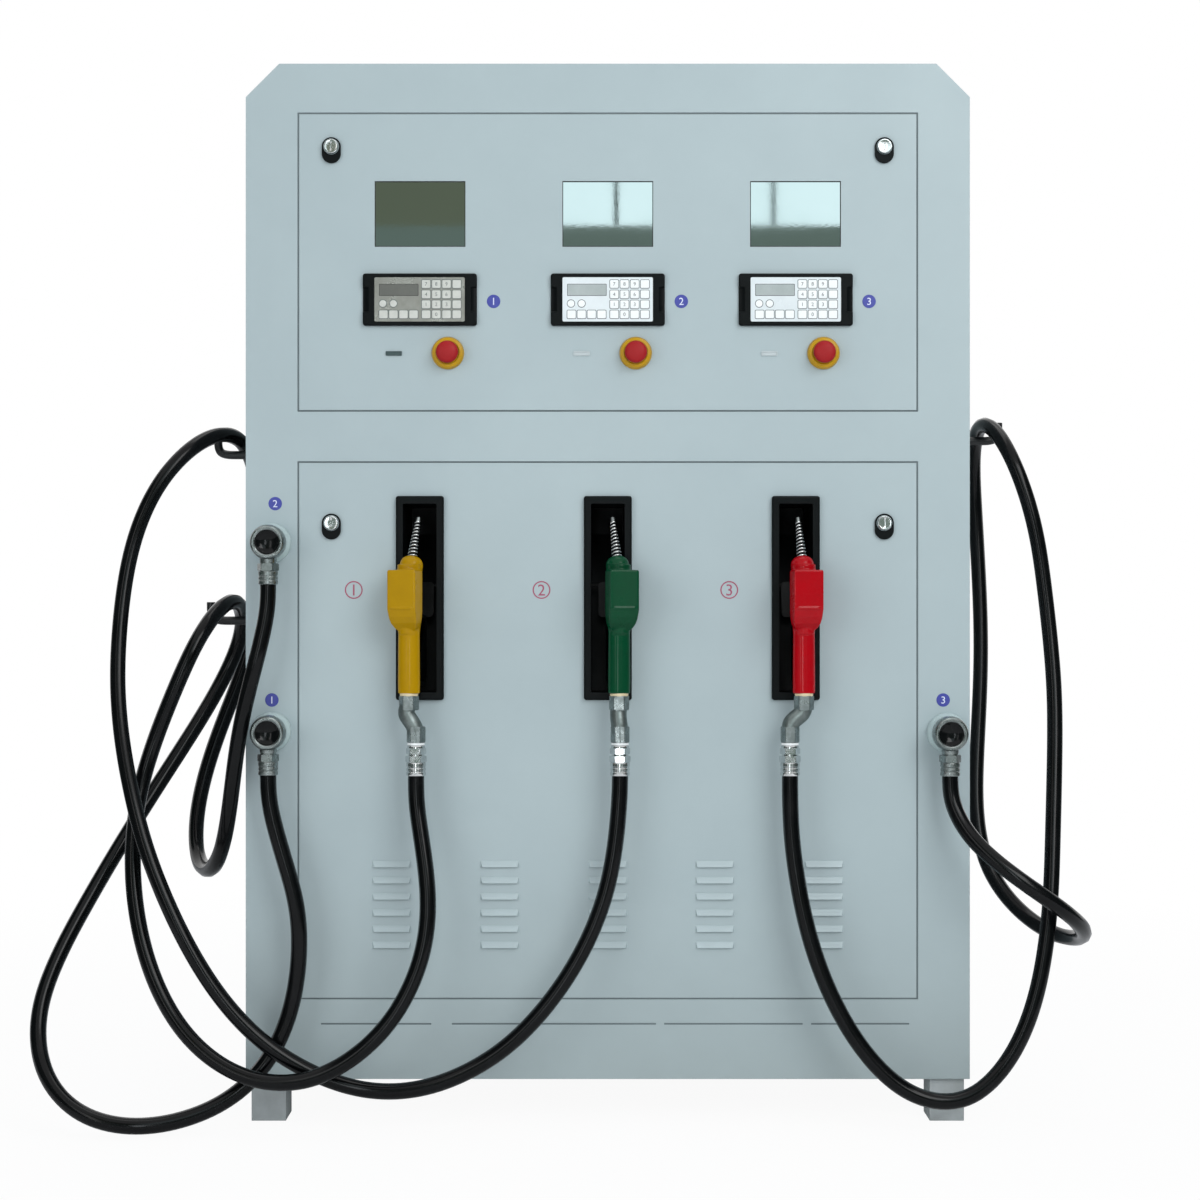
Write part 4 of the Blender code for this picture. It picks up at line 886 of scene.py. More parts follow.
@dataclass
class LowerPanel:
    """The lower panel with its five groups of pressed louvres."""

    groups: tuple = (-0.388, -0.194, 0.0, 0.192, 0.388)
    top_row: float = 0.463
    pitch: float = 0.029
    rows: int = 6
    size: tuple = (0.070, 0.0125, 0.0055)

    def build(self) -> None:
        """Builds the panel and its louvres."""
        eased_node("lower_panel", "lower_panel_sheet", 0.0011, POWDER_COAT)
        # The louvres take a copy of the coat painted lighter, as painted highlight on their hoods.
        louvres("lower_panel_louvres", self.size, LIT_LOUVRE_COAT,
                [Matrix.Translation((x, FRONT, self.top_row - row * self.pitch))
                 for x in self.groups for row in range(self.rows)])


# ---------------------------------------------------------------- door fittings


@dataclass
class Door:
    """The upper door with its display frames, slot plugs and lock bosses."""

    plug_offset: float = -0.047
    plug_height: float = 1.3795
    plug_size: tuple = (0.029, 0.008)
    lap: float = 0.010

    def build(self) -> None:
        """Builds the door's sheet and what is fixed in it."""
        eased_node("upper_door", "upper_door_sheet", 0.0008, POWDER_COAT, "upper_door")
        for number in COLUMN_NUMBERS:
            self._display(number)
            self._plug(number)

    def _display(self, number: int) -> None:
        """Dresses a display's glass and adds the rubber gasket round its opening."""
        low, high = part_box(f"display_window_{number}")
        keep(f"display_window_{number}", DISPLAY_ACRYLIC)
        rings = []
        for lap, near, far in ((self.lap - 0.0004, 0.0002, low.y - 0.0001), (self.lap + 0.0014, -0.01, high.y)):
            rings.append(block(f"display_gasket_{number}", (low.x + lap, FRONT + near, low.z + lap),
                               (high.x - lap, far, high.z - lap)))
        dress(ease(combine(*rings), 0.0003, 1), DARK_RUBBER, "upper_door")

    def _plug(self, number: int) -> None:
        """Adds the narrow slot plug beside a stop button."""
        x = column(number) + self.plug_offset
        wide, high = (side / 2 for side in self.plug_size)
        plug = block(f"slot_plug_{number}", (x - wide, FRONT - 0.0022, self.plug_height - high),
                     (x + wide, FRONT + 0.004, self.plug_height + high))
        round_edges(plug, 0.0012, 3, along("y"))
        draw_out(plug, faces_front, (0, 0.0016, 0), 0.0014)
        dress(ease(plug, 0.0003), PLUG_DARK if number == 1 else PLUG_GREY, "upper_door")


def column(number: int) -> float:
    """The X of a column of fittings, from its keypad."""
    return middle_of(f"keypad_{number}")[0]


@dataclass
class Keypad:
    """A membrane keypad in a black bezel with two finger hollows."""

    number: int
    face: Finish
    key: Finish
    columns: tuple = (0.0115, 0.0298, 0.0481, 0.0664)
    rows: tuple = (0.0275, 0.0090, -0.0090, -0.0269)
    key_size: tuple = (0.0150, 0.0142)
    extra_keys: tuple = (-0.065, -0.047, -0.029, -0.011)
    icon_keys: tuple = (-0.066, -0.047)
    strip: tuple = ((-0.072, 0.0072), (-0.003, 0.0269))

    def build(self) -> None:
        """Builds the bezel, the membrane, the strip display and the keys."""
        node = f"keypad_{self.number}"
        low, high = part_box(node)
        self.x, _, self.z = middle_of(node)
        self.y = low.y
        bezel = block(f"keypad_bezel_{self.number}", (low.x, self.y, low.z), (high.x, FRONT - 0.0003, high.z))
        round_edges(bezel, 0.0045, 4, along("y"))
        round_edges(bezel, 0.0028, 3, lambda middle, way: abs(way.y) < 0.5 and middle.y < self.y + 1e-5)
        for side in (-1, 1):
            hollow = lathe("hollow", [(0.010, -0.0235), (0.0165, -0.0215), (0.0165, 0.0215), (0.010, 0.0235)],
                           (self.x + side * 0.1035, self.y - 0.0110, self.z), "+Z", 40)
            combine(bezel, hollow)
        combine(bezel, self._inlay("pocket", (-0.0820, 0.0815, 0.0405), -0.01, 0.0016, 0.0030))
        body = block("body", (self.x - 0.087, self.y + 0.004, self.z - 0.032),
                     (self.x + 0.087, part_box(node)[1].y, self.z + 0.032))
        combine(bezel, body, "UNION")
        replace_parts(dress(ease(bezel, 0.0004), BLACK_ABS, "upper_door"), node)
        sheet = self._inlay(f"keypad_membrane_{self.number}", (-0.0812, 0.0807, 0.0397), 0.0005, 0.0015, 0.0026)
        dress(ease(sheet, 0.0002, 1), self.face, "upper_door")
        self._strip()
        self._keys()

    def _inlay(self, name: str, reach: Point, near: float, far: float, corner: float) -> Piece:
        """Makes the membrane, or the pocket for it.

        Args:
            name: The object's name.
            reach: Its left and right ends and its half height from the keypad's centre.
            near: The depth of its front behind the bezel's.
            far: The depth of its back.
            corner: Its corners' radius.

        Returns:
            The plate.
        """
        left, right, half = reach
        plate = block(name, (self.x + left, self.y + near, self.z - half),
                      (self.x + right, self.y + far, self.z + half))
        return round_edges(plate, corner, 3, along("y"))

    def _plate(self, name: str, centre: tuple, size: tuple, near: float, far: float, corner: float) -> Piece:
        """Makes a thin plate with rounded corners on the membrane.

        Args:
            name: The object's name.
            centre: Its centre from the keypad's.
            size: Its width and height.
            near: The depth of its front behind the bezel's.
            far: The depth of its back.
            corner: Its corners' radius.

        Returns:
            The plate.
        """
        x, z = self.x + centre[0], self.z + centre[1]
        wide, tall = size[0] / 2, size[1] / 2
        plate = block(name, (x - wide, self.y + near, z - tall), (x + wide, self.y + far, z + tall))
        return round_edges(plate, corner, 3, along("y"))

    def _strip(self) -> None:
        """Adds the strip display and the dark line round it."""
        (left, low), (right, high) = self.strip
        centre = ((left + right) / 2, (low + high) / 2)
        wide, tall = right - left, high - low
        rim = 0.0016
        border = self._plate(f"strip_border_{self.number}", centre, (wide + rim, tall + rim), 0.0003, 0.0006, 0.001)
        dress(border, DARK_RUBBER, "upper_door")
        glass = self._plate(f"strip_display_{self.number}", centre, (wide, tall), 0.0001, 0.0005, 0.0008)
        dress(glass, LCD_DARK if self.face is SILVER_MEMBRANE else LCD_PALE, "upper_door")

    def _keys(self) -> None:
        """Adds the keys: a grey printed outline and a low dome for each, with plain figures."""
        places = [(x, z) for z in self.rows for x in self.columns]
        places += [(x, self.rows[-1]) for x in self.extra_keys]
        wide, tall = self.key_size
        outlines, domes, figures = [], [], []
        for x, z in places:
            outlines.append(self._plate("outline", (x, z), (wide + 0.0022, tall + 0.0022), 0.00035, 0.0006, 0.0024))
            dome = self._plate("dome", (x, z), (wide, tall), 0.0, 0.0005, 0.0017)
            pick(dome, "FACE", faces_front)
            bpy.ops.mesh.inset(thickness=0.0009)
            bpy.ops.transform.translate(value=(0, -0.0003, 0))
            domes.append(done(dome))
        for x in self.icon_keys:
            for made, depth, profile in ((outlines, 0.0006, [(0.0074, 0), (0.0074, 0.0003)]),
                                         (domes, 0.0005, [(0.0062, 0), (0.0062, 0.0004), (0.0050, 0.0008)])):
                made.append(lathe("round_key", profile, (self.x + x, self.y + depth, self.z - 0.0075), "-Y", 28))
        digits = ("7", "8", "9", "", "4", "5", "6", "", "1", "2", "3", "", "", "0")
        for (x, z), digit in zip(places, digits):
            if digit:
                figures.append(figure("figure", digit, 0.0092, (self.x + x, self.y - 0.0002, self.z + z), 0.0002))
        for kind, pieces, finish in (("outlines", outlines, GREY_PRINT), ("domes", domes, self.key),
                                     ("figures", figures, GREY_PRINT)):
            dress(merge(pieces, f"key_{kind}_{self.number}"), finish, "upper_door")


@dataclass
class StopButton:
    """A stop button: yellow collar on the door, red cap on its own body."""

    number: int

    def build(self) -> None:
        """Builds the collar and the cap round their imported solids."""
        x, _, z = middle_of(f"stop_collar_{self.number}")
        collar = lathe(f"stop_collar_body_{self.number}",
                       [(0.0110, -0.018), (0.0110, -0.0003), (0.0288, -0.0003), (0.0292, 0.0008), (0.0292, 0.0032),
                        (0.0284, 0.0046), (0.0272, 0.0098), (0.0262, 0.0118), (0.0240, 0.0130), (0.0215, 0.0130),
                        (0.0205, 0.0122), (0.0202, 0.0095), (0.0100, 0.0095)], (x, FRONT - 0.0003, z), "-Y", 56)
        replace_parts(dress(collar, BUTTON_YELLOW, "upper_door", 30), f"stop_collar_{self.number}")
        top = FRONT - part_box(f"stop_button_{self.number}")[0].y
        cap = lathe(f"stop_button_cap_{self.number}",
                    [(0.0073, -0.010), (0.0073, top - 0.0135), (0.0182, top - 0.0135), (0.0196, top - 0.0122),
                     (0.0200, top - 0.0095), (0.0196, top - 0.0068), (0.0180, top - 0.0042), (0.0150, top - 0.0022),
                     (0.0105, top - 0.0008), (0.0050, top - 0.0001), (0.0012, top)], (x, FRONT, z), "-Y", 56)
        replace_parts(dress(cap, BUTTON_RED, f"stop_button_{self.number}", 30), f"stop_button_{self.number}")


@dataclass
class Lock:
    """A quarter-turn lock: chrome disc with a key slot, in a black sleeve on its boss."""

    number: int

    def build(self) -> None:
        """Builds the sleeve on the door or panel and the disc on the lock's body."""
        node = f"lock_{self.number}"
        owner = "upper_door" if self.number <= 2 else "root"
        x, _, z = middle_of(node)
        x = math.copysign(LOCK_X, x)
        near, radius, drop = FRONT - 0.0052, 0.0170, 0.0125
        sleeve = block(f"lock_sleeve_{self.number}", (x - radius, near, z - drop - radius),
                       (x + radius, FRONT, z + radius))
        round_edges(sleeve, radius * 0.995, 10, along("y"))
        combine(sleeve, lathe("bore", [(0.0141, -0.02), (0.0141, 0.02)], (x, FRONT, z), "-Y", 40))
        dress(ease(sleeve, 0.0008, 3), BLACK_ABS, owner)
        disc = lathe(f"lock_disc_{self.number}",
                     [(0.0100, -0.0040), (0.0134, -0.0038), (0.0135, 0.0090), (0.0130, 0.0105), (0.0118, 0.0114),
                      (0.0104, 0.0116), (0.0098, 0.0110), (0.0040, 0.0112)], (x, FRONT, z), "-Y", 48)
        slot = block("slot", (x - 0.0009, FRONT - 0.02, z - 0.0048), (x + 0.0009, FRONT - 0.0085, z + 0.0048))
        combine(disc, slot)
        barrel = from_frame(node, "barrel")
        reach = 0.06
        cut_off = block("cut_off", (x - reach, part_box(node)[0].y - 0.01, z - reach),
                        (x + reach, FRONT + 0.0005, z + reach))
        combine(barrel, cut_off)
        joined = merge([disc, barrel], f"lock_disc_{self.number}")
        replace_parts(dress(joined, CHROME, f"lock_{self.number}"), node)


@dataclass
class Markings:
    """Plain figures: blue discs on the door and stiles, red rings by the boots."""

    door_offset: float = 0.132
    door_height: float = 1.473
    stile_discs: tuple = (("2", -0.597, 1.110), ("1", -0.603, 0.7575), ("3", 0.602, 0.7575))
    ring_offset: float = -0.119
    ring_height: float = 0.955

    def build(self) -> None:
        """Builds all the markings."""
        for number in COLUMN_NUMBERS:
            self._disc(f"door_disc_{number}", str(number), column(number) + self.door_offset, self.door_height,
                       "upper_door")
            self._ring(number, column(number) + self.ring_offset)
        for text, x, z in self.stile_discs:
            self._disc(f"stile_disc_{text}", text, x, z, "root")

    def _disc(self, name: str, text: str, x: float, z: float, body: str) -> None:
        """Adds a blue disc with a white figure."""
        disc = lathe(name, [(0.0121, 0.0), (0.0121, 0.0004), (0.0119, 0.0006)], (x, FRONT, z), "-Y", 48)
        dress(disc, BLUE_PRINT, body)
        dress(figure(f"{name}_figure", text, 0.0185, (x, FRONT - 0.0006, z)), WHITE_PRINT, body)

    def _ring(self, number: int, x: float) -> None:
        """Adds a red ring with a red figure in it."""
        place = (x, FRONT, self.ring_height)
        ring = lathe(f"pump_ring_{number}", [(0.0160, 0.0), (0.0160, 0.0005)], place, "-Y", 56)
        combine(ring, lathe("hole", [(0.0138, -0.01), (0.0138, 0.01)], place, "-Y", 56))
        dress(ring, RED_PRINT)
        dress(figure(f"pump_figure_{number}", str(number), 0.0290, place, 0.0004), RED_PRINT)


# ---------------------------------------------------------------- boots and nozzles


@dataclass
class Boot:
    """A moulded boot that a nozzle stands in, with its flange, wedge and switch flap."""

    number: int
    wall: float = 0.003
    mouth: tuple = (0.030, 0.169)
    deep: tuple = (0.182, 0.067)
    straight: float = 0.050

    def build(self) -> None:
        """Builds the boot and the flap that the nozzle presses."""
        node = f"nozzle_boot_{self.number}"
        low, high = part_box(node)
        x, _, z = middle_of(node)
        boot = block(f"boot_{self.number}", low, (high.x, FRONT - 0.0003, high.z))
        round_edges(boot, 0.0045, 4, along("y"))
        round_edges(boot, 0.0038, 3, lambda middle, way: abs(way.y) < 0.5 and middle.y < low.y + 1e-5)
        combine(boot, self._wedge(x, z, self.wall, low.y + 0.005), "UNION")
        hollow = self._wedge(x, z, 0.0, low.y - 0.02)
        round_edges(hollow, 0.0025, 3, along("y", 0.95))
        combine(boot, hollow)
        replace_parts(dress(ease(boot, 0.0012), BLACK_ABS), node)
        flap = block(f"boot_flap_{self.number}", (x - 0.017, FRONT + 0.098, z - 0.035),
                     (x + 0.017, FRONT + 0.103, z + 0.030))
        shift(flap, lambda place, normal: place.z > z, (0, 0.020, 0))
        round_edges(flap, 0.008, 4, along("y"))
        pin = pipe("pin", [(x + side * 0.0302, FRONT + 0.120, z + 0.024) for side in (-1, 1)], 0.003, 12)
        dress(ease(merge([flap, pin], flap.name), 0.0008), DARK_RUBBER)

    def _wedge(self, x: float, z: float, grow: float, near: float) -> Piece:
        """Makes the boot's wedge: deep at its head, shallow at its foot.

        Args:
            x: The boot's middle.
            z: The mouth's middle height.
            grow: How far the wedge reaches past the mouth.
            near: The Y of its front.

        Returns:
            The wedge.
        """
        wide, tall = (side + grow for side in self.mouth)
        head, foot = (FRONT + depth + grow for depth in self.deep)
        made = block("wedge", (x - wide, near, z + tall - self.straight), (x + wide, head, z + tall))
        draw_out(made, faces_down, (0, 0, self.straight - 2 * tall))
        return shift(made, lambda place, normal: place.z < z and place.y > near + 0.01, (0, foot - head, 0))


@dataclass
class Nozzle:
    """A nozzle with its dipped cover, spring-guarded spout, lever guard, lever and swivel."""

    number: int
    cover: Finish
    x: float
    turn: float
    kick: float
    grip_foot: float = 0.771
    body: tuple = (0.881, 0.922, 0.990)
    tapers: tuple = ((0.36, 0.985, 0.005), (0.28, 0.93, 0.007), (0.20, 0.85, 0.008), (0.16, 0.70, 0.008))
    seat: tuple = (0.014, 1.004)
    bend: tuple = (0.028, 1.040)
    tip: tuple = (0.048, 1.084)
    pivot: tuple = (0.040, 0.893)

    def build(self) -> None:
        """Builds the nozzle's pieces in its own frame and turns them into the boot."""
        self.place = (Matrix.Translation((self.x, FRONT - HOSE_FORWARD, 0.0))
                      @ Matrix.Rotation(math.radians(self.turn), 4, "Z"))
        self.rides = f"nozzle_{self.number}"
        self._cover()
        self._spout()
        self._guard()
        self._lever()
        self._swivel()

    def _set_down(self, piece: Piece, finish: Finish, body: str = "", angle: float = 35.0) -> Piece:
        """Turns a piece into the nozzle's place, dresses it and returns it."""
        piece.data.transform(self.place)
        return dress(piece, finish, body or self.rides, angle)

    def _cover(self) -> None:
        """Builds the dipped cover: shield-shaped body, round grip and collar, blended as one skin."""
        low, knee, high = self.body
        body = block(f"nozzle_cover_{self.number}", (-0.0262, -0.040, knee), (0.0262, -0.002, high))
        round_edges(body, 0.0030, 3, lambda middle, way: abs(way.y) > 0.9 and middle.z > knee + 0.01)
        for drop, narrower, back in self.tapers:
            pick(body, "FACE", faces_down)
            bpy.ops.mesh.extrude_region_move(TRANSFORM_OT_translate={"value": (0, 0, (low - knee) * drop)})
            bpy.ops.transform.resize(value=(narrower, 1.0, 1.0), center_override=(0, 0, 0))
            done(body)
            foot = min(corner.co.z for corner in body.data.vertices)
            shift(body, lambda place, normal: place.z < foot + 1e-5 and place.y < -0.006, (0, back, 0))
        column_rod = lathe("column_rod", [(0.0190, low - 0.004), (0.0205, low + 0.010), (0.0205, 1.000)],
                           axis="+Z", sides=48)
        combine(body, column_rod, "UNION")
        grip = lathe("grip", [(0.0180, self.grip_foot), (0.0196, self.grip_foot + 0.0012), (0.0199, 0.790),
                              (0.0196, 0.840), (0.0193, 0.870), (0.0196, 0.900)], axis="+Z", sides=48)
        pick(grip, "VERT", anything)
        bpy.ops.transform.resize(value=(1.0, 0.86, 1.0), center_override=(0, 0, 0))
        done(grip)
        collar = lathe("collar", [(0.0203, -0.030), (0.0206, -0.006), (0.0201, -0.001), (0.0180, 0.0038),
                                  (0.0150, 0.0068), (0.0122, 0.0084)], axis="+Z")
        collar.data.transform(self._lean())
        ridge = pipe("knee_ridge", [(side * 0.0185, -0.0395, knee + 0.0005) for side in (-1, 1)], 0.0021, 12)
        for added in (grip, collar, ridge):
            combine(body, added, "UNION")
        apply_modifier(body, "REMESH", mode="VOXEL", voxel_size=0.0013, adaptivity=0.0)
        apply_modifier(body, "SMOOTH", factor=0.5, iterations=3)
        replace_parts(self._set_down(body, self.cover, angle=60), f"nozzle_body_{self.number}")

    def _lean(self) -> Matrix:
        """The matrix that sets +Z along the collar's way, at the spout's seat."""
        seat, bend = Vector((0, *self.seat)), Vector((0, *self.bend))
        return Matrix.Translation(seat) @ (bend - seat).to_track_quat("Z", "Y").to_matrix().to_4x4()

    def _spout(self) -> None:
        """Builds the spout tube with its open end, the spring wound round its root, and a black sleeve under the
        spring that paints the shade between its turns.
        """
        seat, bend, tip = (Vector((0, *place)) for place in (self.seat, self.bend, self.tip))
        start = seat + (bend - seat).normalized() * 0.0060
        line = eased_line([start, start.lerp(bend, 0.5), bend, bend.lerp(tip, 0.5), tip], 8)
        taper = [1.0 - 0.40 * index / (len(line) - 1) for index in range(len(line))]
        tube = pipe(f"spout_{self.number}", line, 0.0074, 24, taper)
        way = (line[-1] - line[-2]).normalized()
        draw_out(tube, lambda centre, normal: (centre - tip).length < 0.001 and normal.dot(way) > 0.9,
                 tuple(way * -0.012), 0.0011)
        lengths = [0.0]
        for a, b in zip(line, line[1:]):
            lengths.append(lengths[-1] + (b - a).length)
        wound, pitch, steps = lengths[-1] * 0.94, 0.0066, 16
        coil = []
        for index in range(int(wound / pitch * steps)):
            run = index * pitch / steps
            after = next(i for i, length in enumerate(lengths) if length >= run + 1e-9)
            share = (run - lengths[after - 1]) / (lengths[after] - lengths[after - 1])
            here = line[after - 1].lerp(line[after], share)
            along = (line[after] - line[after - 1]).normalized()
            side = Vector((1, 0, 0))
            up = along.cross(side)
            radius = 0.0088 - 0.0040 * run / wound
            angle = 2 * math.pi * index / steps
            coil.append(here + side * radius * math.cos(angle) + up * radius * math.sin(angle))
        spring = pipe(f"spout_spring_{self.number}", coil, 0.0016, 8)
        # The black sleeve is painted shade: it darkens the gaps between the spring's turns, where the metal tube lies
        # in shadow.
        sleeve = pipe(f"spout_shade_sleeve_{self.number}", line[:-3], 0.0078, 20, taper[:-3])
        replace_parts(self._set_down(tube, NICKEL), f"nozzle_spout_{self.number}")
        self._set_down(sleeve, BLACK_ABS, angle=70)
        self._set_down(spring, CHROME, angle=70)

    def _guard(self) -> None:
        """Builds the loop that guards the lever, with the two cheeks and the pin that the lever hangs on."""
        loop = block(f"lever_guard_{self.number}", (-0.007, 0.012, 0.784), (0.007, 0.072, 0.912))
        round_edges(loop, 0.016, 6, along("x"))
        inner = block("inner", (-0.02, 0.0, 0.792), (0.02, 0.064, 0.904))
        round_edges(inner, 0.010, 5, lambda middle, way: abs(way.x) > 0.9 and middle.y > 0.05)
        combine(loop, inner)
        y, z = self.pivot
        cheeks = block("cheeks", (-0.007, y - 0.007, z - 0.007), (0.007, y + 0.007, 0.910))
        combine(cheeks, block("gap", (-0.0048, y - 0.02, z - 0.02), (0.0048, y + 0.02, z + 0.0065)))
        pin = pipe("pin", [(-0.0078, y, z), (0.0078, y, z)], 0.0028, 16)
        made = merge([ease(loop, 0.0015), ease(cheeks, 0.0008), ease(pin, 0.0005)], loop.name)
        self._set_down(made, BLACK_ABS)

    def _lever(self) -> None:
        """Builds the lever: an eye on the pin and a blade with a rolled finger edge."""
        y, z = self.pivot
        blade = block(f"lever_blade_{self.number}", (-0.0045, y - 0.0005, z - 0.086), (0.0045, y + 0.0045, z))
        round_edges(blade, 0.0035, 4, lambda middle, way: abs(way.y) > 0.9 and middle.z < z - 0.05)
        eye = lathe("eye", [(0.0056, -0.0045), (0.0058, -0.0042), (0.0058, 0.0042), (0.0056, 0.0045)],
                    axis="+Z", sides=28)
        eye.data.transform(Matrix.Translation((0, y, z)) @ Matrix.Rotation(math.pi / 2, 4, "Y"))
        combine(blade, eye, "UNION")
        combine(blade, pipe("bore", [(-0.02, y, z), (0.02, y, z)], 0.00305, 24))
        node = f"nozzle_lever_{self.number}"
        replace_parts(self._set_down(ease(blade, 0.0007), BLACK_ABS, node), node)

    def _swivel(self) -> None:
        """Builds the cranked swivel: washer, hexagon, cast bend, hexagon and washer."""
        node = f"nozzle_swivel_{self.number}"
        low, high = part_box(node)
        hose = Vector((*middle_of(f"hose_coupling_{self.number}")[:2], low.z))
        top = Vector((self.x, FRONT - HOSE_FORWARD, high.z))
        span = top.z - low.z
        aside = Vector((self.kick, 0, 0))
        line = eased_line([top, top - up(0.22 * span), top + aside - up(0.38 * span),
                           hose + aside + up(0.46 * span), hose + up(0.30 * span), hose], 8)
        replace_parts(dress(pipe(f"swivel_{self.number}", line, 0.0150, 24), ZINC, self.rides, 30), node)
        nuts = [nut(f"swivel_nuts_{self.number}", top - up(0.0290), 0.0180, 0.0255),
                nut("lower_nut", hose + up(0.0050), 0.0170, 0.0285)]
        dress(merge(nuts, nuts[0].name), NICKEL, self.rides, 30)
        washer = lathe(f"grip_washer_{self.number}", [(0.0150, -0.0045), (0.0160, -0.0040), (0.0163, -0.0020),
                                                      (0.0163, 0.0005), (0.0158, 0.0022)], top, "+Z")
        dress(washer, CREAM_NYLON, self.rides)
        ring = lathe(f"swivel_washer_{self.number}", [(0.0145, 0.0003), (0.0154, 0.0008), (0.0154, 0.0044),
                                                      (0.0145, 0.0050)], hose, "+Z")
        dress(ring, KEY_WHITE, self.rides)


def nut(name: str, foot: Point, radius: float, high: float) -> Piece:
    """Makes a hexagon nut with both its rims chamfered, turned by NUT_TURN so that a flat almost faces the front.

    Args:
        name: The object's name.
        foot: The middle of its foot.
        radius: Its corners' radius.
        high: Its height.

    Returns:
        The nut.
    """
    made = lathe(name, [(radius, 0.0), (radius, high)], foot, "+Z", 6)
    made.data.transform(Matrix.Translation(foot) @ Matrix.Rotation(NUT_TURN, 4, "Z")
                        @ Matrix.Translation(-Vector(foot)))
    round_edges(made, 0.0008, 2, along("z"))
    cone = lathe("cone", [(radius - 0.0016, 0.0), (radius + 0.0006, 0.0022), (radius + 0.0006, high - 0.0022),
                          (radius - 0.0016, high)], foot, "+Z", 36)
    return combine(made, cone, "INTERSECT")


# Turned profiles, radius and height, of a crimped ferrule and of an outlet's cup, ring and bowl.
FERRULE = ((0.0158, 0.0), (0.0171, 0.0008), (0.0175, 0.0030), (0.0175, 0.0060), (0.0166, 0.0072), (0.0166, 0.0090),
           (0.0175, 0.0102), (0.0175, 0.0130), (0.0166, 0.0142), (0.0166, 0.0160), (0.0175, 0.0172), (0.0175, 0.0225),
           (0.0166, 0.0240))
CUP = ((0.0350, 0.0), (0.0352, 0.0020), (0.0350, 0.0130), (0.0340, 0.0165), (0.0322, 0.0195), (0.0312, 0.0230),
       (0.0308, 0.0280), (0.0296, 0.0300))
RING = ((0.0270, 0.0285), (0.0300, 0.0315), (0.0311, 0.0360), (0.0314, 0.0520), (0.0307, 0.0580), (0.0290, 0.0618),
        (0.0268, 0.0634), (0.0244, 0.0634), (0.0222, 0.0618), (0.0213, 0.0585), (0.0209, 0.0470))
BOWL = ((0.0207, 0.0480), (0.0211, 0.0590), (0.0200, 0.0592), (0.0172, 0.0560), (0.0120, 0.0535), (0.0060, 0.0525),
        (0.0008, 0.0522))


@dataclass
class Coupling:
    """The coupling that turns on a hose's upper end: crimped ferrule, two hexagons and a neck."""

    number: int

    def build(self) -> None:
        """Builds the coupling on its own body."""
        node = f"hose_coupling_{self.number}"
        low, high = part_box(node)
        foot = Vector((*middle_of(node)[:2], low.z))
        parts = [lathe(f"coupling_{self.number}", FERRULE, foot, "+Z"),
                 nut("first_nut", foot + up(0.0242), 0.0192, 0.0115),
                 lathe("neck", [(0.0150, 0.0350), (0.0150, 0.0400)], foot, "+Z", 32),
                 nut("second_nut", foot + up(0.0385), 0.0182, 0.0110),
                 lathe("rim", [(0.0160, 0.0490), (0.0160, 0.0522), (0.0150, high.z - low.z)], foot, "+Z", 32)]
        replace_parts(dress(merge(parts, parts[0].name), CHROME, node, 30), node)


@dataclass
class Outlet:
    """A hose outlet on the front frame: coated cup, cast ring with a dark hollow, stub, nut and ferrule."""

    number: int

    def build(self) -> None:
        """Builds the outlet's pieces."""
        node = f"hose_outlet_{self.number}"
        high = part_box(node)[1]
        x, z = middle_of(node)[0], high.z - OUTLET_RISE
        front = (x, FRONT - 0.0003, z)
        dress(lathe(f"outlet_cup_{self.number}", CUP, front, "-Y", 56), CUP_COAT)
        ring = lathe(f"outlet_ring_{self.number}", RING, front, "-Y", 56)
        axis = Vector((x, FRONT - HOSE_FORWARD, z))
        stub = lathe("stub", [(0.0150, 0.0), (0.0150, 0.0120), (0.0136, 0.0150), (0.0136, 0.0300)],
                     axis - up(0.022), "-Z", 32)
        end = axis - up(OUTLET_DROP)
        pieces = [ring, stub, nut("outlet_nut", end + up(0.0245), 0.0196, 0.0130),
                  lathe("ferrule", FERRULE, end, "+Z"),
                  pipe("nipple", [(x, FRONT - 0.010, z), (x, high.y, z)], 0.0118, 20)]
        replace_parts(dress(merge(pieces, ring.name), NICKEL, "root", 30), node)
        dress(lathe(f"outlet_bowl_{self.number}", BOWL, front, "-Y", 48), BLACK_GLOSS, "root", 60)


@dataclass
class Hanger:
    """A hose hanger on the cabinet's side: screwed plate and coated bar with its tip turned up."""

    number: int
    arm: float = 0.008

    def build(self) -> None:
        """Builds the plate, its screws and the bar."""
        node = f"hose_hanger_{self.number}"
        low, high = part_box(node)
        side = math.copysign(1.0, low.x + high.x)
        wall = min(abs(low.x), abs(high.x))
        reach = max(abs(low.x), abs(high.x)) - self.arm
        y = (low.y + high.y) / 2
        z = low.z + 0.075
        ends = sorted((side * wall, side * (wall + 0.004)))
        plate = block(f"hanger_plate_{self.number}", (ends[0], low.y, low.z), (ends[1], high.y, low.z + 0.110))
        round_edges(plate, 0.008, 4, along("x"))
        bar = [(side * out, y, height) for out, height in (
            (wall + 0.002, z), (wall + 0.03, z), (reach - 0.036, z), (reach - 0.018, z),
            (reach - 0.004, z + 0.004), (reach, z + 0.016), (reach, z + 0.028), (reach, high.z))]
        rod = pipe("rod", eased_line(bar, 8), self.arm, 20)
        screws = []
        for height in (low.z + 0.014, low.z + 0.096):
            screw = lathe("screw", [(0.0062, 0.0), (0.0062, 0.0018), (0.0045, 0.0036), (0.0015, 0.0042)],
                          axis="+Z", sides=28)
            screw.data.transform(Matrix.Translation((side * (wall + 0.004), y, height))
                                 @ Matrix.Rotation(side * math.pi / 2, 4, "Y"))
            screws.append(screw)
        made = merge([ease(plate, 0.0009), ease(rod, 0.0015, 3, 60), *screws], plate.name)
        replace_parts(dress(made, HANGER_COAT), node)


# ---------------------------------------------------------------- hoses


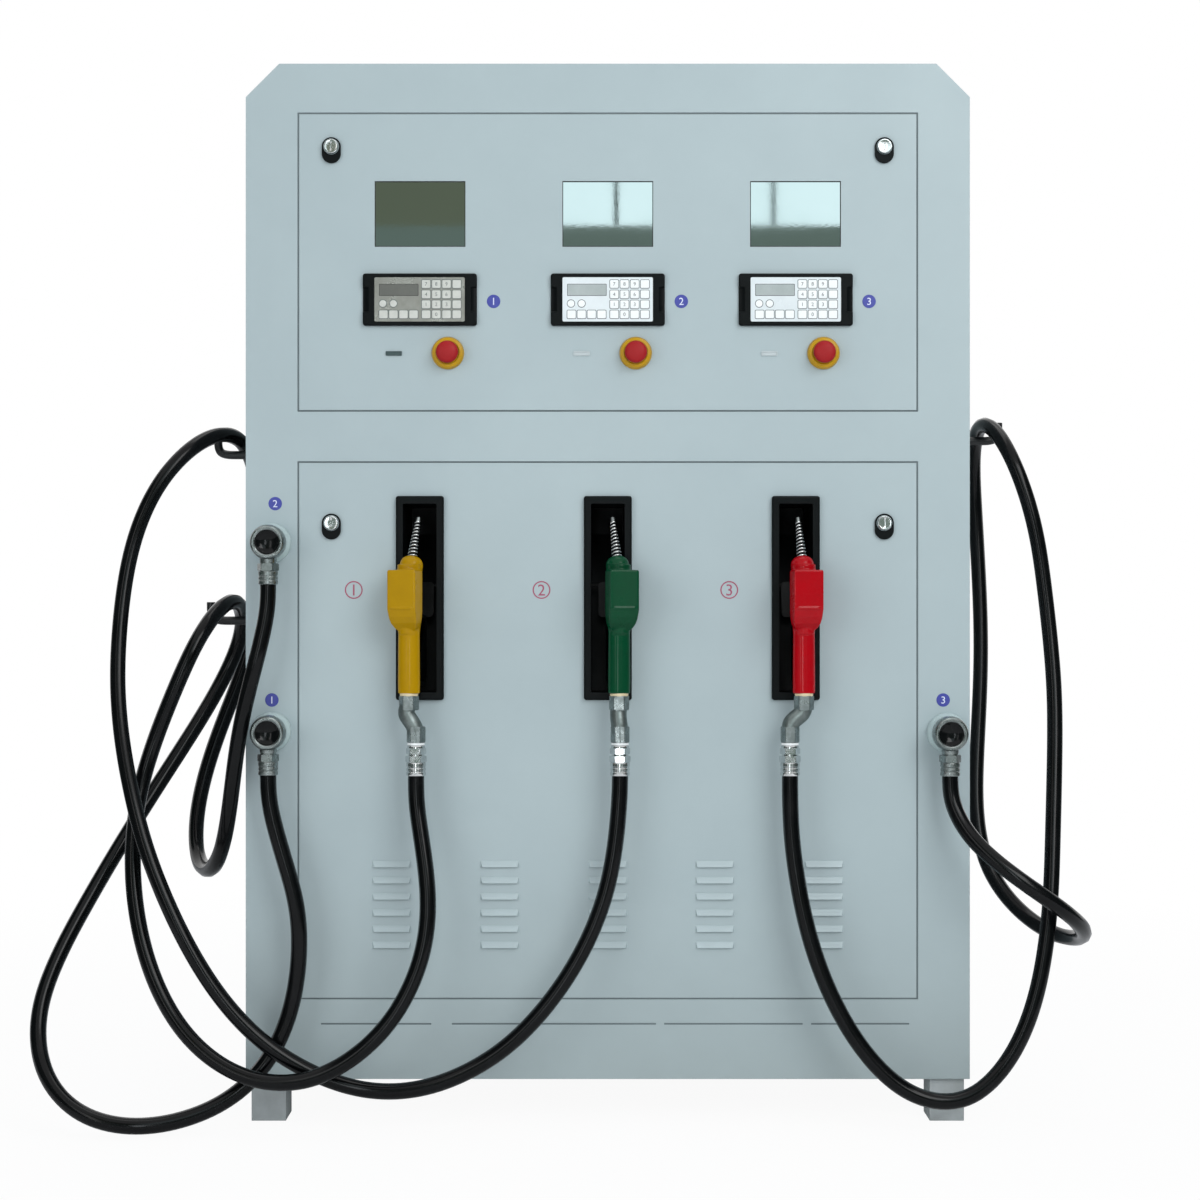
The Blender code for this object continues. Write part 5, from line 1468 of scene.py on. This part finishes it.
# The way each hose lies, from its outlet over its hanger and up to its nozzle: X, depth behind the front and Z, in mm.
HOSE_ROUTES = (
    ((-603, -45, 626), (-603, -45, 575), (-575, -50, 480), (-550, -50, 400), (-545, -50, 320), (-555, -50, 225),
     (-590, -55, 130), (-655, -75, 60), (-740, -105, 25), (-835, -130, 17), (-930, -120, 40), (-1000, -80, 105),
     (-1020, -30, 200), (-995, 20, 290), (-960, 70, 370), (-908, 128, 475), (-845, 190, 590), (-780, 240, 700),
     (-738, 292, 785), (-702, 295, 868), (-690, 222, 935), (-708, 122, 938), (-745, 48, 870), (-785, 38, 775),
     (-825, 50, 680), (-850, 30, 585), (-855, 0, 490), (-845, -25, 395), (-820, -50, 300), (-775, -75, 210),
     (-710, -100, 140), (-620, -120, 95), (-520, -128, 95), (-430, -125, 145), (-365, -115, 215),
     (-322, -98, 310), (-312, -85, 410), (-330, -62, 520), (-340, -50, 575), (-340, -50, 625)),
    ((-603, -45, 964), (-603, -45, 916), (-620, -60, 835), (-645, -45, 750), (-662, -30, 670), (-675, -10, 580),
     (-695, 35, 490), (-730, 105, 430), (-775, 200, 440), (-790, 270, 520), (-775, 310, 615), (-745, 340, 710),
     (-712, 365, 800), (-690, 385, 895), (-682, 395, 995), (-682, 390, 1100), (-687, 362, 1195),
     (-706, 280, 1262), (-760, 180, 1245), (-832, 142, 1165), (-875, 128, 1065), (-892, 110, 967),
     (-897, 85, 865), (-892, 50, 770), (-875, 15, 675), (-850, -20, 585), (-820, -50, 495), (-780, -70, 405),
     (-735, -85, 320), (-680, -90, 235), (-610, -90, 160), (-525, -85, 105), (-430, -80, 70), (-330, -85, 73),
     (-235, -85, 110), (-150, -85, 170), (-60, -75, 280), (5, -58, 420), (21, -50, 575), (21, -50, 625)),
    ((608, -45, 625), (608, -45, 575), (640, -80, 510), (715, -125, 450), (790, -120, 400), (840, -60, 360),
     (865, 30, 325), (835, 125, 310), (770, 185, 350), (715, 230, 430), (705, 270, 530), (712, 300, 625),
     (722, 325, 725), (730, 350, 825), (732, 372, 925), (730, 390, 1025), (725, 397, 1130), (716, 372, 1222),
     (712, 280, 1283), (730, 175, 1258), (765, 130, 1170), (795, 125, 1065), (808, 120, 960), (817, 105, 855),
     (820, 82, 755), (812, 48, 635), (800, 5, 515), (790, -30, 405), (775, -50, 305), (750, -70, 210),
     (705, -85, 120), (630, -95, 50), (535, -92, 60), (460, -85, 125), (405, -75, 210), (365, -65, 305),
     (340, -57, 405), (326, -50, 505), (323, -50, 575), (323, -50, 625)),
)


@dataclass
class Hose:
    """A fuel hose from its outlet, over its hanger, up to its nozzle's coupling."""

    number: int
    blend_from: float
    blend_to: float
    outlet: tuple
    top: tuple
    radius: float = 0.0145
    sides: int = 16
    spacing: float = 0.011

    def build(self) -> None:
        route = [Vector((x / 1000, FRONT + depth / 1000, z / 1000)) for x, depth, z in HOSE_ROUTES[self.number - 1]]
        route[0] = Vector((self.outlet[0], FRONT - HOSE_FORWARD, self.outlet[1] - OUTLET_DROP))
        route[-1] = Vector((self.top[0], FRONT - 0.050, self.top[1]))
        line = self._even(eased_line(route))
        hose = pipe(f"fuel_hose_{self.number}", line, self.radius, self.sides)
        work_on(hose)
        bpy.ops.object.shade_smooth_by_angle(angle=math.radians(50))
        hose.data.materials.clear()
        hose.data.materials.append(HOSE_RUBBER.material())
        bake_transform(hose)
        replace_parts(hose, f"hose_{self.number}")

    def _even(self, line: list[Vector]) -> list[Vector]:
        """Spaces a line's points evenly, with a short straight piece at each end.

        Args:
            line: The line's points.

        Returns:
            The even points.
        """
        lengths = [(b - a).length for a, b in zip(line, line[1:])]
        count = round(sum(lengths) / self.spacing)
        step = sum(lengths) / count
        found, travelled = [line[0]], 0.0
        for a, b, length in zip(line, line[1:], lengths):
            while len(found) < count and travelled + length >= len(found) * step:
                found.append(a.lerp(b, (len(found) * step - travelled) / length))
            travelled += length
        return found + [line[-1]]


# ---------------------------------------------------------------- inside and studio


def build_inside() -> None:
    """Dresses the pumps and meters behind the lower panel."""
    for number in COLUMN_NUMBERS:
        keep(f"pump_unit_{number}", PUMP_ENAMEL)
        keep(f"flow_meter_{number}", METER_ALLOY)


@dataclass
class Studio:
    """The floor, the reflection cards, the lamps, the world and the camera."""

    distance: float = 4.0
    eye: tuple = (-0.014, 0.937)
    lens: float = 66.85
    floor_radius: float = 40.0
    floor_drop: float = 0.0005
    floor_fade: tuple = (0.9, 3.2, 0.94, 1.0)
    surround: float = 0.52
    lamp_side: float = 3.0
    card_distance: float = 5.0
    card_top: float = 5.0
    card_split: float = 2.45
    card_thick: float = 0.004

    def build(self) -> None:
        """Builds the studio round the dispenser."""
        view = bpy.context.scene.view_settings
        view.view_transform = "Standard"
        self._camera()
        self._floor()
        self._world()
        self._cards()
        self._lamp("key", (2.6, -4.2, 3.4), (0.2, 0.0, 1.0), 130.0)
        self._lamp("fill", (-3.4, -4.0, 1.9), (0.0, 0.0, 0.9), 60.0)
        self._lamp("top", (0.3, 0.4, 4.4), (0.0, 0.0, 1.0), 45.0)

    def _camera(self) -> None:
        """Sets up the camera, level and square to the front."""
        lens = bpy.data.cameras.new("camera")
        lens.lens = self.lens
        lens.sensor_width = 36.0
        camera = bpy.data.objects.new("camera", lens)
        camera.location = (self.eye[0], FRONT - self.distance, self.eye[1])
        camera.rotation_euler = (math.pi / 2, 0.0, 0.0)
        bpy.context.scene.collection.objects.link(camera)
        bpy.context.scene.camera = camera

    def _floor(self) -> None:
        """Lays a pale floor that shows as white far away and keeps the shadow near the dispenser."""
        select_none()
        bpy.ops.mesh.primitive_circle_add(vertices=96, radius=self.floor_radius, fill_type="NGON",
                                          location=(0, 0, -self.floor_drop))
        floor = settle(bpy.context.object)
        floor.name = "studio_floor"
        paper = bpy.data.materials.new("studio_paper")
        paper.use_nodes = True
        tree = paper.node_tree
        tree.nodes.clear()
        place = add_node(tree, "ShaderNodeTexCoord").outputs["Object"]
        away = add_node(tree, "ShaderNodeVectorMath", {"operation": "LENGTH"}, {0: place})
        fade = add_node(tree, "ShaderNodeMapRange", dict(enumerate(self.floor_fade, 1)), {0: away.outputs["Value"]})
        path = add_node(tree, "ShaderNodeLightPath")
        seen = add_node(tree, "ShaderNodeMath", {"operation": "MULTIPLY"},
                        {0: path.outputs["Is Camera Ray"], 1: fade.outputs[0]})
        matt = add_node(tree, "ShaderNodeBsdfDiffuse", {"Color": linear("#EDEEEE")})
        glow = add_node(tree, "ShaderNodeEmission", {"Color": WHITE, "Strength": 1.0})
        mix = add_node(tree, "ShaderNodeMixShader",
                       links={0: seen.outputs[0], 1: matt.outputs[0], 2: glow.outputs[0]})
        add_node(tree, "ShaderNodeOutputMaterial", links={0: mix.outputs[0]})
        floor.data.materials.append(paper)

    def _world(self) -> None:
        """Sets an even pale surround, pure white where the camera, metal or glass sees it."""
        world = bpy.data.worlds.new("studio_world")
        bpy.context.scene.world = world
        world.use_nodes = True
        tree = world.node_tree
        tree.nodes.clear()
        path = add_node(tree, "ShaderNodeLightPath")
        shown = path.outputs["Is Camera Ray"]
        for ray in ("Is Transmission Ray", "Is Glossy Ray"):
            either = add_node(tree, "ShaderNodeMath", {"operation": "MAXIMUM"}, {0: shown, 1: path.outputs[ray]})
            shown = either.outputs[0]
        soft = add_node(tree, "ShaderNodeBackground", {"Color": linear("#F4F8FF"), "Strength": self.surround})
        white = add_node(tree, "ShaderNodeBackground", {"Color": WHITE, "Strength": 1.0})
        mix = add_node(tree, "ShaderNodeMixShader", links={0: shown, 1: soft.outputs[0], 2: white.outputs[0]})
        add_node(tree, "ShaderNodeOutputWorld", links={0: mix.outputs[0]})

    def _cards(self) -> None:
        """Hangs the cards that glass and metal reflect: bright above, dark below and beside, and a bright strip."""
        y, split, top = FRONT - self.card_distance, self.card_split, self.card_top
        for name, left, right, foot, head, near, colour, strength in (
                ("card_bright", -0.35, 1.9, split, top, 0.0, "#E2F3F6", 1.85),
                ("card_low", -2.6, 2.6, 0.0, split, -0.01, "#6A7871", 1.35),
                ("card_left", -2.6, -0.35, split, top, -0.01, "#69705F", 1.28),
                ("card_mullion_1", 0.042, 0.060, split, 3.6, 0.02, "#2B3A33", 1.2),
                ("card_mullion_2", 0.676, 0.694, split, 3.6, 0.02, "#2B3A33", 1.2),
                ("card_strip", -0.66, -0.14, 0.2, 2.15, 0.02, "#F4FAFF", 6.0)):
            self._card(name, (left, y + near, foot), (right, y + near + self.card_thick, head), colour, strength)
        for name, x in (("card_side_left", -2.9), ("card_side_right", 2.9)):
            half = self.card_thick / 2
            self._card(name, (x - half, y, -0.2), (x + half, FRONT + 1.2, 3.4), "#4A5552", 1.0)

    def _card(self, name: str, low: Point, high: Point, colour: str, strength: float) -> None:
        """Adds one glowing card that only glossy rays see.

        Args:
            name: The card's name.
            low: Its lowest corner.
            high: Its highest corner.
            colour: Its colour.
            strength: Its glow.
        """
        card = block(name, low, high)
        glow = bpy.data.materials.new(name)
        glow.use_nodes = True
        tree = glow.node_tree
        tree.nodes.clear()
        shine = add_node(tree, "ShaderNodeEmission", {"Color": linear(colour), "Strength": strength})
        add_node(tree, "ShaderNodeOutputMaterial", links={0: shine.outputs[0]})
        card.data.materials.append(glow)
        card.visible_camera = card.visible_diffuse = card.visible_shadow = False
        card.visible_transmission = card.visible_volume_scatter = False

    def _lamp(self, name: str, place: Point, aim: Point, watts: float) -> None:
        """Adds a soft square lamp.

        Args:
            name: The lamp's name.
            place: Where it hangs.
            aim: What it points at.
            watts: Its power.
        """
        lamp = bpy.data.lights.new(name, "AREA")
        lamp.shape = "RECTANGLE"
        lamp.size = lamp.size_y = self.lamp_side
        lamp.energy = watts
        holder = bpy.data.objects.new(name, lamp)
        holder.location = place
        holder.rotation_euler = (Vector(aim) - Vector(place)).to_track_quat("-Z", "Y").to_euler()
        bpy.context.scene.collection.objects.link(holder)


# ---------------------------------------------------------------- assembly


def main() -> None:
    """Builds the studio, the hoses and then the dispenser's sub-assemblies."""
    logging.basicConfig(level=logging.INFO, format="%(message)s")
    Studio().build()
    for number, (x, z) in enumerate(OUTLETS, 1):
        start, end = HOSE_BLENDS[number - 1]
        low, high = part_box(f"hose_coupling_{number}")
        Hose(number, start, end, (x, z), ((low.x + high.x) / 2, low.z - 0.0003)).build()
        Outlet(number).build()
        Coupling(number).build()
        Hanger(number).build()
    Cabinet().build()
    LowerPanel().build()
    Door().build()
    faces = ((SILVER_MEMBRANE, KEY_SILVER), (WHITE_MEMBRANE, KEY_WHITE), (WHITE_MEMBRANE, KEY_WHITE))
    covers = (YELLOW_VINYL, GREEN_VINYL, RED_VINYL)
    for number in COLUMN_NUMBERS:
        Keypad(number, *faces[number - 1]).build()
        StopButton(number).build()
        Boot(number).build()
        Nozzle(number, covers[number - 1], *NOZZLE_PLACES[number - 1]).build()
    for number in (1, 2, 3, 4):
        Lock(number).build()
    Markings().build()
    build_inside()


if __name__ == "__main__":
    main()
